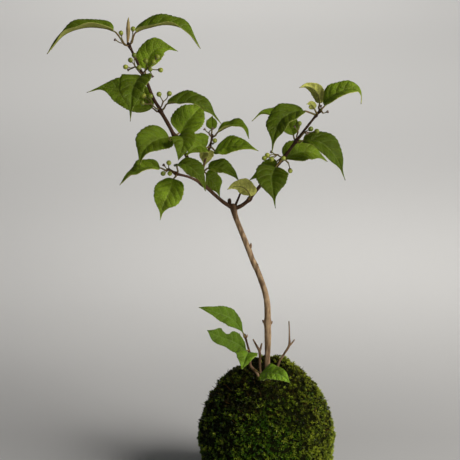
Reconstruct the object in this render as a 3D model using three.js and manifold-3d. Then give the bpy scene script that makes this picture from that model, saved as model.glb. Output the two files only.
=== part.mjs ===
// A kokedama: a small berry-bearing shrub that grows out of a ball of soil wrapped in living moss.
// Millimetres, +Z up. The origin is the middle of the small flat spot that the ball rests on.
// The plant leans to -X at the top, and -Y is the side that it shows to the room.
import * as THREE from 'three';
import { mergeVertices } from 'three/addons/utils/BufferGeometryUtils.js';
import Module from 'manifold-3d';

const wasm = await Module();
wasm.setup();

// Driving dimensions
const BALL_RADIUS = 43;        // the ball's half width
const BALL_MIDDLE = 37;        // height of its widest place
const BALL_UP = 53.5;          // from there to the top
const BALL_DOWN = 39.5;        // from there down, cut off by the flat spot
const SHOULDER = 1.08;         // over 1, the upper half draws in a little towards the top
const COAT = 5.5;              // thickness of the moss
const GAP = 0.35;              // clearance between neighbouring pieces
const MOUTH_RADIUS = 10;       // the opening in the moss that the stems come out of
const MOUTH_Y = -9;            // its middle, forward of the ball's axis
const BERRY_RADIUS = 1.5;
const CUP_RADIUS = 0.8;        // a spent flower cup
const LEAF_THICK = 0.6;
const RIB_THICK = 0.9;         // at the midrib
const PETIOLE = 0.5;           // half width of a leaf stalk
const TIP = 0.35;              // half width of a leaf's very tip

const group = new THREE.Group();
const vec = ([x, y, z]) => new THREE.Vector3(x, y, z);

function addPiece(name, geometry, colour, roughness) {
  const material = new THREE.MeshStandardMaterial({ color: colour, roughness, metalness: 0 });
  const mesh = new THREE.Mesh(geometry, material);
  mesh.name = name;
  group.add(mesh);
}

// A closed skin over rings that all have the same number of points, listed anticlockwise as seen
// from the end that the rings run towards. With alike set, the second half of each ring is split the
// other way, so that the two faces of a blade bend along the same diagonals.
function skinRings(rings, alike = false) {
  const count = rings[0].length;
  const points = rings.flat();
  const faces = [];
  for (let i = 0; i + 1 < rings.length; i++) {
    for (let j = 0; j < count; j++) {
      const a = i * count + j;
      const b = i * count + (j + 1) % count;
      if (alike && j >= count / 2) {
        faces.push(a, b, a + count, b, b + count, a + count);
      } else {
        faces.push(a, b, b + count, a, b + count, a + count);
      }
    }
  }
  const last = (rings.length - 1) * count;
  for (let j = 1; j + 1 < count; j++) {
    faces.push(0, j + 1, j);
    faces.push(last, last + j, last + j + 1);
  }
  const geometry = new THREE.BufferGeometry().setFromPoints(points);
  geometry.setIndex(faces);
  return geometry;
}

function toSolid(geometry) {
  const bare = geometry.clone();
  bare.deleteAttribute('normal');
  bare.deleteAttribute('uv');
  const merged = mergeVertices(bare, 1e-4);
  return new wasm.Manifold(new wasm.Mesh({
    numProp: 3,
    vertProperties: new Float32Array(merged.attributes.position.array),
    triVerts: new Uint32Array(merged.index.array),
  }));
}

function toGeometry(solid) {
  const mesh = solid.getMesh();
  const geometry = new THREE.BufferGeometry();
  geometry.setAttribute('position', new THREE.BufferAttribute(new Float32Array(mesh.vertProperties), 3));
  geometry.setIndex(new THREE.BufferAttribute(new Uint32Array(mesh.triVerts), 1));
  return geometry;
}

const joined = (geometries) => geometries.map(toSolid).reduce((whole, piece) => whole.add(piece));

// Stems and twigs. Each limb is a list of [x, y, z, radius] along its middle, from its root outwards.
const trunk = [
  [0, -5, 48, 1.6], [0, -6, 66, 1.8], [0, -7, 86, 1.7], [0, -7, 94, 1.65], [0.2, -7, 101, 1.85],
  [0.2, -7, 107, 2.05], [0, -7, 113, 2.1], [-0.1, -7, 116, 2.45], [0, -7, 118.5, 2], [-0.1, -6.5, 125, 1.9],
  [-0.8, -6, 131, 1.8], [-2.2, -6, 137, 1.75], [-6.2, -4.5, 148, 1.7], [-8, -4, 152, 1.85],
  [-9.6, -4, 155.5, 1.65], [-11.8, -3, 161.5, 1.75], [-14, -2.6, 167, 1.6], [-18.4, -1, 177.8, 1.6],
  [-20.2, 0, 183, 1.75], [-20.7, 0, 186.2, 2.1], [-21.4, 0, 188.6, 1.2],
];
const leader = [
  [-20, 0, 185, 1.5], [-22.4, 0, 187, 1.35], [-26.4, 0, 189.5, 1.15], [-31.7, 1, 193.8, 1.05],
  [-36.2, 1, 198, 1.1], [-40.6, 1, 201.6, 1.4], [-42.4, 1.5, 204.4, 1.1], [-45.6, 2, 210, 1.1],
  [-50, 2, 220, 1.1], [-55, 3, 227.6, 1.2], [-56, 3, 229.6, 1.6], [-57, 3, 231.6, 1.2],
  [-60, 3, 237.5, 1.15], [-63.3, 4, 243, 1.2],
  [-64.2, 4, 244.6, 1.55], [-65, 4, 246.4, 1.1], [-68, 4, 251.5, 1], [-71.3, 4, 260, 0.95],
  [-73.9, 4, 265.3, 1.4], [-74.8, 4, 267.2, 0.9], [-76.5, 5, 271, 0.8], [-80.5, 5, 280, 0.75],
  [-82.3, 5, 283.6, 1.15], [-82.8, 5, 285, 0.7],
];
const sideBranch = [
  [-40.5, 1, 201.5, 1.1], [-43.5, -1, 203.7, 0.85], [-48, -3.5, 206.3, 0.75], [-53, -7, 208.4, 0.85],
  [-54.8, -8, 209.2, 1.3], [-56.5, -9, 210.4, 0.8], [-59.5, -11.5, 212.6, 0.7],
];
const innerTwig = [
  [-39.3, 1, 200.6, 0.9], [-39.6, 3, 204.4, 0.75], [-39.5, 5, 207.9, 1.1], [-38.8, 7, 210.6, 0.75],
  [-37.4, 9, 215.5, 0.7], [-35.6, 10.6, 220, 0.75], [-35.1, 11, 221.3, 1.15], [-34.5, 11.8, 223.6, 0.65],
  [-33.9, 12.6, 226.2, 0.7], [-33.6, 13, 227.6, 1], [-33.6, 13, 228.8, 0.55],
];
const rightBranch = [
  [-20.4, 0, 185.8, 1.4], [-16.2, -1, 187.8, 1.2], [-12.6, -2, 190.8, 1.2], [-11.2, -2, 192.2, 1.6],
  [-10, -2.4, 194, 1.15], [-6.2, -3, 199, 1.05], [0.9, -4, 208, 1.05], [7.4, -5, 216.2, 1.1],
  [8.6, -5, 217.6, 1.5], [10, -5, 219.6, 1.05], [15, -5, 226.6, 1], [16.2, -5, 228.2, 1.5],
  [17.3, -5.3, 230, 0.9], [23.3, -6, 238, 0.75], [26.8, -6, 242.6, 0.8], [27.6, -6, 243.6, 1.15],
  [28.4, -6, 244.7, 0.75], [30.2, -6, 246.6, 1.1], [30.8, -6, 247.4, 0.6],
];
const thinTwig = [
  [-20, 0, 187, 0.8], [-18.4, 1, 190.6, 0.65], [-16.9, 3, 194, 0.6], [-16, 5, 196.4, 0.45],
];
const knob = [[-21.6, 0, 186.4, 1.2], [-22.8, 0, 188.6, 0.9], [-23.2, 0, 190.6, 1.2], [-23.3, 0, 191.9, 0.8]];
const lowShoot = [
  [-4.6, -12.4, 64, 0.9], [-5.2, -13.4, 78, 1], [-5.9, -14.4, 84.8, 1], [-8.4, -15.4, 88.8, 0.95],
  [-10.4, -15.3, 91.4, 0.9], [-10.6, -15, 95.6, 0.95], [-10.9, -15, 98.6, 1.15], [-11.5, -14.9, 101.4, 0.8],
  [-13.2, -14.2, 107.6, 0.75], [-13.8, -14, 109.6, 1], [-14.1, -14, 111.2, 0.6],
];
const deadLeft = [
  [-3.6, -10.4, 66, 0.75], [-4.1, -9.8, 80, 0.8], [-4.6, -9, 90, 0.8], [-4.9, -9, 98, 0.8],
  [-6.8, -9, 102, 0.65], [-8.8, -9, 106, 0.4],
];
const deadLeftFork = [[-4.9, -9, 97.4, 0.65], [-4.2, -7.6, 99.8, 0.6], [-3.4, -6, 102.4, 0.4]];
const deadRight = [
  [5, -6, 66, 0.7], [6, -5.6, 80, 0.75], [7, -5, 89, 0.75], [10.4, -4.4, 95, 0.65], [13.4, -4, 100.2, 0.75],
  [13.5, -3.6, 106, 0.5], [13.2, -3, 115.6, 0.35],
];
const deadRightFork = [[13.2, -4, 99.6, 0.6], [15, -2.4, 101, 0.5], [16.8, -1, 103, 0.35]];
// [foot, point] of the small buds: four on the stem and one on the low shoot
const BUDS = [
  [[-1.2, -7, 115.4], [-3.2, -7.3, 117.8]], [[1, -7, 114.6], [3, -7.2, 117]],
  [[-7.6, -4, 151], [-5.9, -4.6, 152.4]], [[-11, -3, 160.8], [-10.2, -3.9, 165.6]],
  [[-13.2, -14, 108.6], [-12.4, -14.7, 111]],
];

// A tapered round limb along its points. Extra radius makes the tool for the hole that it stands in.
function limb(points, sides, extra = 0) {
  const rings = points.map(([x, y, z, radius], i) => {
    const before = vec(points[Math.max(i - 1, 0)]);
    const after = vec(points[Math.min(i + 1, points.length - 1)]);
    const along = after.sub(before).normalize();
    const right = new THREE.Vector3(0, 1, 0).cross(along).normalize();
    const up = along.clone().cross(right);
    return Array.from({ length: sides }, (_, j) => {
      const turn = 2 * Math.PI * j / sides;
      return new THREE.Vector3(x, y, z)
        .addScaledVector(right, (radius + extra) * Math.cos(turn))
        .addScaledVector(up, (radius + extra) * Math.sin(turn));
    });
  });
  return skinRings(rings);
}

const STEM_BUDS = 4;
const BUD_SIDES = 5;
const BUD_RADII = [0.7, 0.95, 0.25];     // at its foot, its fullest place and its point
const BUD_FULLEST = 0.55;

function bud([foot, point]) {
  const middle = vec(foot).lerp(vec(point), BUD_FULLEST);
  return limb([foot, middle, point].map((at, i) => [...at, BUD_RADII[i]]), BUD_SIDES);
}

const TRUNK_SIDES = 10;
const TWIG_SIDES = 6;
const buds = BUDS.map(bud);
const branches = [leader, sideBranch, innerTwig, rightBranch, thinTwig, knob];
const stem = joined([
  limb(trunk, TRUNK_SIDES),
  ...branches.map((points) => limb(points, TWIG_SIDES)),
  ...buds.slice(0, STEM_BUDS),
]);
const shoot = joined([limb(lowShoot, TWIG_SIDES), ...buds.slice(STEM_BUDS)]);
const twigLeft = joined([limb(deadLeft, TWIG_SIDES), limb(deadLeftFork, TWIG_SIDES)]);
const twigRight = joined([limb(deadRight, TWIG_SIDES), limb(deadRightFork, TWIG_SIDES)]);
addPiece('stem', toGeometry(stem), 0x7a6248, 0.8);
addPiece('shoot_low', toGeometry(shoot), 0x6b4a34, 0.8);
addPiece('twig_dead_left', toGeometry(twigLeft), 0x86705a, 0.9);
addPiece('twig_dead_right', toGeometry(twigRight), 0x86705a, 0.9);

// The pale folded young leaves at the top of the leader
addPiece('bud_tip', limb([
  [-82.9, 5, 285.7, 0.5], [-82.9, 4.8, 288, 0.6], [-82.6, 4.3, 291.5, 1.1], [-82.3, 3.8, 295, 0.95],
  [-81.9, 3.2, 298, 0.6], [-81.7, 3, 299.6, 0.3],
], TWIG_SIDES), 0xb79c6a, 0.7);

// The ball: an egg with more lift above its widest place than below, cut flat where it rests.
function egg(inset, columns, rows, relief) {
  const side = BALL_RADIUS - inset;
  const rings = [];
  const flatAngle = Math.acos(-BALL_MIDDLE / BALL_DOWN);
  const endAngle = inset ? Math.PI : flatAngle;
  for (let i = 1; i <= rows; i++) {
    const down = inset ? endAngle * i / (rows + 1) : endAngle * i / rows;
    const upper = Math.cos(down) > 0;
    const height = (upper ? BALL_UP : BALL_DOWN) - inset;
    const spread = Math.sin(down) ** (upper ? SHOULDER : 1);
    rings.push(Array.from({ length: columns }, (_, j) => {
      const round = 2 * Math.PI * (j + (i % 2) / 2) / columns;
      const out = new THREE.Vector3(spread * Math.cos(round), spread * Math.sin(round), Math.cos(down));
      const lift = i < rows ? relief(out, i, j) : 0;
      return new THREE.Vector3(side * out.x, side * out.y, BALL_MIDDLE + height * out.z)
        .addScaledVector(out, lift);
    }));
  }
  const topHeight = BALL_MIDDLE + BALL_UP - inset;
  const bottomHeight = inset ? BALL_MIDDLE - BALL_DOWN + inset : 0;
  const points = [new THREE.Vector3(0, 0, topHeight), ...rings.flat(), new THREE.Vector3(0, 0, bottomHeight)];
  const faces = [];
  const at = (i, j) => 1 + i * columns + (j + columns) % columns;
  const bottom = points.length - 1;
  for (let j = 0; j < columns; j++) {
    faces.push(0, at(0, j), at(0, j + 1));
    for (let i = 0; i + 1 < rows; i++) {
      // rows are staggered by half a column, so the cells split along their short diagonal
      if (i % 2) {
        faces.push(at(i, j), at(i + 1, j), at(i + 1, j + 1), at(i, j), at(i + 1, j + 1), at(i, j + 1));
      } else {
        faces.push(at(i, j), at(i + 1, j), at(i, j + 1), at(i, j + 1), at(i + 1, j), at(i + 1, j + 1));
      }
    }
    faces.push(bottom, at(rows - 1, j + 1), at(rows - 1, j));
  }
  const geometry = new THREE.BufferGeometry().setFromPoints(points);
  geometry.setIndex(faces);
  return geometry;
}

// Cushions of moss: broad low humps in two crossing waves, and a tuft or a dip of its own at each
// point of the skin. The humps fade out towards the top and the flat spot.
const HUMP = 0.9;
const TUFT = 0.75;

function mossRelief(out, row, column) {
  const crossing = Math.sin(7 * out.x + 2) * Math.sin(6 * out.y + 5 * out.z);
  const leaning = Math.sin(9 * out.z - 6 * out.x + 1);
  const fade = Math.sin(3 * Math.acos(Math.min(Math.abs(out.z), 1))) ** 2;
  const tuft = Math.sin(row * row * 127.1 + column * column * 3.7 + 5 * column);
  return HUMP * (crossing + leaning) * fade + TUFT * tuft;
}

const MOUTH_SIDES = 20;
const mouthLength = BALL_UP + COAT;      // from the ball's middle to clear of its top
const mouth = new THREE.CylinderGeometry(MOUTH_RADIUS, MOUTH_RADIUS, mouthLength, MOUTH_SIDES);
mouth.rotateX(Math.PI / 2);
mouth.translate(0, MOUTH_Y, BALL_MIDDLE + mouthLength / 2);
const COAT_COLUMNS = 48;
const COAT_ROWS = 24;
const CORE_COLUMNS = 24;
const CORE_ROWS = 11;
const smooth = () => 0;
const coat = toSolid(egg(0, COAT_COLUMNS, COAT_ROWS, mossRelief))
  .subtract(toSolid(egg(COAT, CORE_COLUMNS, CORE_ROWS, smooth)))
  .subtract(toSolid(mouth));
addPiece('moss_coat', toGeometry(coat), 0x4f6a22, 1);

// The soil, with a plain hole for each stem and twig that roots in it
const ROOTED = 4;              // points of each limb that its hole follows

function holeFor(points, sides) {
  const [x, y, z, radius] = points[0];
  return limb([[x, y, z - GAP, radius], ...points.slice(1, ROOTED)], sides, GAP);
}
const holes = [
  holeFor(trunk, TRUNK_SIDES), holeFor(lowShoot, TWIG_SIDES), holeFor(deadLeft, TWIG_SIDES),
  holeFor(deadRight, TWIG_SIDES),
];
const soil = holes.map(toSolid).reduce(
  (rest, hole) => rest.subtract(hole), toSolid(egg(COAT + GAP, CORE_COLUMNS, CORE_ROWS, smooth)));
addPiece('soil_core', toGeometry(soil), 0x2e2218, 1);

// Leaves. on: the limb and the ring of it that the stalk leaves. rib: the midrib from the blade's foot
// to its tip. face: the way the upper side looks. width: across the blade. fold: how far the two halves
// rise from flat, in degrees. tail: how much the blade's last part is drawn in. wedge: the share of the
// length over which a tapered base widens. bite: a notch in one edge.
const LEAVES = [
  { name: 'leaf_top_left', on: [leader, 22], width: 15, fold: 38, face: [0, -0.1, 1],
    rib: [[-91, 4, 292], [-101, 3, 294.5], [-110, 2, 294], [-120, 1, 290], [-130, 0, 279]] },
  { name: 'leaf_top_right', on: [leader, 22], width: 16, fold: 38, face: [0, -0.25, 1],
    rib: [[-78, 5, 291], [-69, 4, 294.5], [-59, 3, 296], [-49, 2, 293], [-40, 1, 282]] },
  { name: 'leaf_node1_back', on: [leader, 18], width: 17, fold: 15, tail: 0.6, face: [-0.3, -1, 0.5],
    rib: [[-73, 8, 269], [-71, 13, 275], [-66, 18, 280], [-60, 20, 280], [-54, 19, 278]] },
  { name: 'leaf_node1_front', on: [leader, 18], width: 18, fold: 22, tail: 0.75, face: [-0.1, -0.6, 1],
    rib: [[-75, 0, 266], [-77, -11, 265], [-79, -19, 260.5], [-79.5, -24, 253], [-80, -27, 244]] },
  { name: 'leaf_node2_left', on: [leader, 14], width: 19, fold: 18, tail: 0.8, face: [-0.1, -1, 0.5],
    rib: [[-69, 6, 246], [-77, 9, 250.5], [-87, 11, 255], [-98, 10, 257.5], [-108, 8, 255]] },
  { name: 'leaf_node2_right', on: [leader, 14], width: 17, fold: 32, tail: 0.6, face: [0, -0.3, 1],
    rib: [[-60, 4, 249], [-52, 3, 250], [-44, 1, 250], [-36, 0, 246], [-28, -1, 238]] },
  { name: 'leaf_node3_back', on: [leader, 10], width: 20, fold: 16, face: [-0.2, -1, 0.4],
    rib: [[-53.2, 5, 231], [-49.5, 10, 235.6], [-44.5, 15, 241], [-39.5, 19, 245], [-35, 21, 246.5]] },
  { name: 'leaf_node3_left', on: [leader, 10], width: 21, fold: 18, tail: 0.6, face: [-0.4, -1, 0.6],
    rib: [[-59, 0, 229.5], [-64, -5, 229.5], [-70, -10, 227.5], [-74, -14, 223], [-76, -16, 215.5]] },
  { name: 'leaf_node3_front', on: [leader, 10], width: 14, fold: 14, tail: 0.2, face: [0.1, -1, 0.6],
    rib: [[-53.4, -5, 231.2], [-51.3, -11, 231.8], [-50.2, -17, 229.7], [-51.3, -20.5, 225.4],
      [-53, -21.5, 220]] },
  { name: 'leaf_side_left', on: [sideBranch, 6], width: 15, fold: 26, tail: 0.5, face: [0, -0.3, 1],
    rib: [[-64, -14, 214], [-70, -15, 214.5], [-76, -15, 213], [-82, -14, 209.5], [-88, -13, 203.5]] },
  { name: 'leaf_side_down', on: [sideBranch, 4], width: 18, fold: 14, tail: 0.7, face: [-0.2, -1, 0.35],
    rib: [[-56, -12, 207], [-57, -14.5, 204], [-59, -17.5, 199], [-62, -19.5, 193], [-64, -20.5, 184]] },
  { name: 'leaf_side_right', on: [sideBranch, 4], width: 14, fold: 22, face: [0.3, -0.6, 1],
    rib: [[-53.8, -13.8, 215.6], [-49.6, -18, 217], [-45, -21, 215], [-40, -23, 210], [-37, -23, 202]] },
  { name: 'leaf_inner1_right', on: [innerTwig, 2], width: 13, fold: 24, face: [0, -0.5, 1],
    rib: [[-36, 4, 210], [-32, 2, 211], [-26, 0, 210], [-21.2, -1, 207.4], [-17.3, -1, 203]] },
  { name: 'leaf_inner1_low', on: [innerTwig, 2], width: 13, fold: 14, face: [0.5, -1, 0.6],
    rib: [[-37.4, 7, 206], [-35, 10, 202], [-32, 12, 198], [-29, 13, 190]] },
  { name: 'leaf_inner2_right', on: [innerTwig, 6], width: 15, fold: 18, face: [0.1, -0.7, 1],
    rib: [[-32, 9, 219.6], [-27, 6, 221.6], [-21, 3, 223.6], [-14, 1, 223.8], [-6, -1, 221.6]] },
  { name: 'leaf_inner2_left', on: [innerTwig, 6], width: 16, fold: 15, face: [-0.2, -1, 0.4],
    rib: [[-37, 7, 221.5], [-40, 1, 224], [-43, -5, 224.5], [-46, -9, 223], [-49, -11, 220.5]] },
  { name: 'leaf_inner2_back', on: [innerTwig, 6], width: 9, fold: 12, face: [0.2, 0.6, 1],
    rib: [[-36, 14.5, 219], [-37, 18, 216], [-38, 22, 211], [-39, 25, 205.5]] },
  { name: 'leaf_inner3_right', on: [innerTwig, 9], width: 11, fold: 28, face: [0, -0.3, 1],
    rib: [[-30, 12, 230.5], [-25, 9, 234], [-19, 6, 236], [-14, 4, 234], [-11.5, 3, 228]] },
  { name: 'leaf_inner3_up', on: [innerTwig, 9], width: 7, fold: 16, face: [0, -1, 0.6],
    rib: [[-33.8, 15.4, 231], [-34, 18.5, 234], [-34, 22, 236.5], [-33.5, 25, 238]] },
  { name: 'leaf_fork_under', on: [rightBranch, 3], width: 12, fold: 10, tail: 0.3, face: [0.2, 1, 0.45],
    rib: [[-10.8, -5.6, 194.8], [-12, -6.4, 198], [-14.8, -6.6, 200.6], [-18.2, -6.4, 201.4],
      [-21.4, -6.2, 200.8], [-24.4, -6, 199.2]] },
  { name: 'leaf_right1_front', on: [rightBranch, 8], width: 20, fold: 24, tail: 0.8, face: [0.05, -0.6, 1],
    rib: [[4, -10, 213.5], [1.5, -18, 210], [1.5, -26, 205.5], [2.4, -30, 200.5], [3.4, -32, 194]] },
  { name: 'leaf_right1_left', on: [rightBranch, 8], width: 13, fold: 14, face: [-0.3, -1, 0.6],
    rib: [[5, 1.4, 214.6], [0, 4, 211.4], [-6, 7, 208], [-13.5, 10, 203.4]] },
  { name: 'leaf_right1_right', on: [rightBranch, 8], width: 18, fold: 20, face: [0, -0.8, 1],
    rib: [[10.4, -1.6, 216.4], [15, 2.4, 218.4], [22, 6, 219.6], [29, 8, 217.6], [36, 10, 212.6]] },
  { name: 'leaf_right2_right', on: [rightBranch, 11], width: 16, fold: 24, tail: 0.6, face: [0, -0.6, 1],
    rib: [[20, -8, 229], [27.5, -11, 229.4], [34.5, -13, 225.5], [40, -14, 218.5], [45, -14, 206.5]] },
  { name: 'leaf_right2_left', on: [rightBranch, 11], width: 14, fold: 20, tail: 0.8, face: [0, -0.6, 1],
    rib: [[14.6, -2, 231], [12.5, 3, 235], [8, 7, 239], [2, 8, 242], [-4, 6, 243], [-10, 4, 238.5]] },
  { name: 'leaf_right3_left', on: [rightBranch, 15], width: 18, fold: 22, tail: 0.75, face: [-0.3, -0.6, 1],
    rib: [[20, -10, 247], [12.5, -15, 246.5], [6, -19.5, 242.5], [3, -23.5, 235.5], [1, -26, 225]] },
  { name: 'leaf_right3_small', on: [rightBranch, 16], width: 5, fold: 18, face: [0, -1, 0.5],
    rib: [[26.4, -9.4, 248], [24, -11.6, 251.4], [21.4, -13.4, 251.6]] },
  { name: 'leaf_right4_left', on: [rightBranch, 17], width: 8.5, fold: 24, tail: 0.3, face: [0.2, 1, 0.4],
    rib: [[29.6, -4.6, 250.6], [29, -2, 254.8], [26.4, 0, 258.4], [22, -2, 260.4], [17.5, -5, 260]] },
  { name: 'leaf_right4_right', on: [rightBranch, 17], width: 15, fold: 26, tail: 0.7, face: [-0.3, -0.6, 1],
    rib: [[32.4, -7, 249.4], [35, -9, 254], [40, -10.4, 257.8], [46.4, -10, 260], [51, -9, 259.6],
      [53.4, -8, 256.6], [53.6, -7, 250.5]] },
  { name: 'leaf_low_top', on: [lowShoot, 9], width: 13, wedge: 0.4, fold: 12, tail: 0, face: [-0.2, -0.8, 1],
    rib: [[-14.8, -15.4, 112], [-16.7, -16, 115.5], [-19.3, -16.8, 119.2], [-23.5, -18, 123],
      [-28.9, -19.4, 125.8], [-35.4, -20.6, 128.5], [-41.5, -21.4, 130.6]] },
  { name: 'leaf_low_middle', on: [lowShoot, 7], width: 12.5, wedge: 0.32, fold: 12, tail: -1,
    face: [-0.2, -1, 0.7], bite: { way: 1, at: 0.6, reach: 0.11, depth: 0.45 },
    rib: [[-12.7, -18, 101.9], [-16.5, -21.4, 106.2], [-21.1, -25.2, 110.2], [-26.5, -29.2, 113.9],
      [-31.2, -32, 116.5], [-36.2, -34, 120.3]] },
  { name: 'leaf_low_front', on: [lowShoot, 6], width: 13, fold: 14, tail: 0, face: [-0.1, -0.8, 1],
    rib: [[-11.6, -23.2, 102.4], [-12.9, -29.2, 102.9], [-13.8, -34.2, 102.6], [-14.9, -37.8, 100.9],
      [-15.9, -39.6, 97.9]] },
  { name: 'leaf_low_right', on: [lowShoot, 3], width: 11.5, wedge: 0.2, fold: 12, tail: -0.3,
    face: [0, -1, 0.9],
    rib: [[-4.7, -20, 88.2], [-1.8, -24.5, 90], [2.2, -30, 92.1], [7.4, -34, 92.2], [12.9, -36, 88]] },
];

const BLADE_ROW = 2.6;         // length of blade to each side of a saw tooth
const FEWEST_ROWS = 8;
const MOST_ROWS = 18;
const TOOTH = 0.06;            // depth of the teeth, as a share of the half width
const WAVE = 0.45;             // lift of the blade's rippled edge
const WAVES = 2.5;             // ripples along the blade
const WAVE_FROM = 4;           // half width from which the edge ripples in full
const TAIL = 0.45;             // how much the blade's last part is drawn in
const TAIL_FROM = 0.55;        // shares of the length between which the drawing in begins and is full
const TAIL_FULL = 0.88;
const FLATTEN = 0.3;           // share of the fold that is lost by the tip
const STALK_ROW = 1.4;         // length of stalk to each of its rows

// Width of the blade at a share of its length: full below the middle, then drawn out to a long tip
function bladeShape(share, tail, wedge) {
  const full = 2.915 * share ** 0.55 * (1 - share) ** 1.15;     // 1 at its widest, a third of the way up
  const base = wedge ? Math.min(share / wedge, 1) : 1;
  return full * base * (1 - tail * THREE.MathUtils.smoothstep(share, TAIL_FROM, TAIL_FULL));
}

// 1 at 0, falling smoothly to nothing at 1 and -1
const bump = (away) => Math.max(1 - away * away, 0);

// The start of a stalk: beside the limb, square to it, with the gap between them
function stalkStart([points, index], towards) {
  const here = vec(points[index]);
  const before = vec(points[Math.max(index - 1, 0)]);
  const after = vec(points[Math.min(index + 1, points.length - 1)]);
  const along = after.sub(before).normalize();
  const away = towards.clone().sub(here).normalize();
  const lean = Math.abs(away.dot(along));
  const out = away.clone().addScaledVector(along, -away.dot(along)).normalize();
  return here.addScaledVector(out, points[index][3] + GAP + PETIOLE * lean);
}

function leaf({ on, rib, face, width, fold, bite, wedge = 0, tail = TAIL }) {
  const foot = vec(rib[0]);
  const start = stalkStart(on, foot);
  const blade = new THREE.CatmullRomCurve3([start, ...rib.map(vec)], false, 'centripetal');
  const bladeLength = new THREE.CatmullRomCurve3(rib.map(vec), false, 'centripetal').getLength();
  const stalkLength = Math.max(blade.getLength() - bladeLength, PETIOLE);
  const footAt = stalkLength / blade.getLength();
  const stalkRows = THREE.MathUtils.clamp(Math.round(stalkLength / STALK_ROW), 1, 3);
  const rows = 2 * Math.round(THREE.MathUtils.clamp(bladeLength / BLADE_ROW, FEWEST_ROWS, MOST_ROWS) / 2);
  const up = vec(face).normalize();
  const rings = [];
  for (let i = -stalkRows; i <= rows; i++) {
    const share = Math.max(i, 0) / rows;
    const at = i < 0 ? footAt * (1 + i / stalkRows) : footAt + (1 - footAt) * share;
    const along = blade.getTangentAt(at);
    const side = along.clone().cross(up).normalize();
    const top = side.clone().cross(along);
    const inBlade = i > 0;
    const tilt = inBlade ? THREE.MathUtils.degToRad(fold) * (1 - FLATTEN * share) : 0;
    const tooth = i % 2 === 0 ? 1 - TOOTH : 1;
    const bladeHalf = inBlade ? width / 2 * bladeShape(share, tail, wedge) * tooth : 0;
    const half = Math.max(bladeHalf, i > rows / 2 ? TIP : PETIOLE);
    const notch = bite ? bite.depth * bump((share - bite.at) / bite.reach) : 0;
    const kept = (way) => (bite?.way === way ? 1 - notch : 1);
    const swell = Math.sin(2 * Math.PI * WAVES * share + fold);
    const ripple = inBlade ? WAVE * swell * Math.min(half / WAVE_FROM, 1) : 0;
    const edge = (inBlade ? LEAF_THICK : PETIOLE) / 2;
    const middle = blade.getPointAt(at);
    // a corner of the ring: way is 1 or -1 for the two edges, skin 1 or -1 for the two faces
    const corner = (way, skin) => middle.clone()
      .addScaledVector(side, way * half * kept(way) * Math.cos(tilt))
      .addScaledVector(top, half * kept(way) * Math.sin(tilt) + way * ripple)
      .addScaledVector(top, skin * edge * Math.cos(tilt))
      .addScaledVector(side, -way * skin * edge * Math.sin(tilt));
    rings.push([
      corner(1, 1), middle.clone().addScaledVector(top, RIB_THICK / 2), corner(-1, 1),
      corner(-1, -1), middle.clone().addScaledVector(top, -RIB_THICK / 2), corner(1, -1),
    ]);
  }
  return skinRings(rings.map((ring) => ring.reverse()), true);
}

LEAVES.forEach((entry) => addPiece(entry.name, leaf(entry), 0x4d7a22, 0.6));

// Berry heads. hub: where the stalk forks. berries and cups: the middles of the berries and of the
// spent flower cups that it carries.
const HEADS = [
  { name: 'berries_top_left', on: [leader, 22], hub: [-84.8, 2, 284.8],
    berries: [[-86.4, 0, 291.2]], cups: [[-89.6, 0, 287]] },
  { name: 'berries_top_right', on: [leader, 22], hub: [-80.4, 1.4, 286.4],
    berries: [[-79.2, -0.4, 293.6]], cups: [] },
  { name: 'berries_node1_left', on: [leader, 19], hub: [-78.4, 0.6, 271.4],
    berries: [[-81, -2, 275.6], [-84, -2, 271.6], [-76, -3.6, 271.4], [-79, 1.6, 278]],
    cups: [[-82.4, 1, 269.6]] },
  { name: 'berries_node1_right', on: [leader, 19], hub: [-71, 1.6, 270.4],
    berries: [[-72, -3.4, 275.4], [-67.6, -2, 274.6], [-65.4, 2.4, 277], [-63.4, -1, 269.6],
      [-69.4, -5, 270.6]],
    cups: [[-68.4, -0.4, 266]] },
  { name: 'berries_node2_left', on: [leader, 15], hub: [-69.6, 0.4, 249.6],
    berries: [[-69.6, -3.4, 254.6], [-73.6, -0.6, 254.4], [-74.4, -2.6, 250.4]], cups: [] },
  { name: 'berries_node2_right', on: [leader, 15], hub: [-62.4, 1.6, 250.4],
    berries: [[-64.6, -1.4, 255.4], [-58.6, 0, 255.6]], cups: [] },
  { name: 'berries_side', on: [sideBranch, 5], hub: [-58.4, -13.6, 213],
    berries: [[-58.6, -17, 217.6], [-62, -18, 211.4], [-58, -19.4, 211.8]], cups: [[-61.4, -16.6, 216]] },
  { name: 'berries_inner2', on: [innerTwig, 7], hub: [-33.2, 9.6, 223.4],
    berries: [[-32, 7.4, 226]], cups: [] },
  { name: 'berries_inner3', on: [innerTwig, 9], hub: [-35.6, 11, 230], berries: [],
    cups: [[-38, 11, 232], [-33.4, 9.6, 232.6]] },
  { name: 'berries_right1', on: [rightBranch, 8], hub: [5.2, -8, 220.6],
    berries: [[-1, -10, 220.6], [-2.8, -11.6, 219.2], [1.4, -13, 218.8], [8.4, -12.4, 219.4]],
    cups: [[1.6, -9.4, 222.4]] },
  { name: 'berries_right1_low', on: [rightBranch, 8], hub: [11.8, -5, 214.8],
    berries: [[12.8, -6.4, 210.4]], cups: [] },
  { name: 'berries_right2_left', on: [rightBranch, 12], hub: [17, -8.4, 234.4],
    berries: [[17.6, -10, 239.6]], cups: [[15, -9.4, 237.4]] },
  { name: 'berries_right2_right', on: [rightBranch, 12], hub: [20.6, -8, 233.8],
    berries: [[24.4, -10, 236.4], [27.8, -12.4, 235.4]], cups: [[22, -12, 234.4]] },
  { name: 'berries_right4', on: [rightBranch, 17], hub: [31.4, -9, 245.6], berries: [],
    cups: [[30, -10.6, 249.6], [33.8, -9.6, 246.4]] },
];
const STALK = 0.42;            // radius of the stalks
const HUB = 0.55;              // radius where they fork
const STALK_SIDES = 4;
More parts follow.
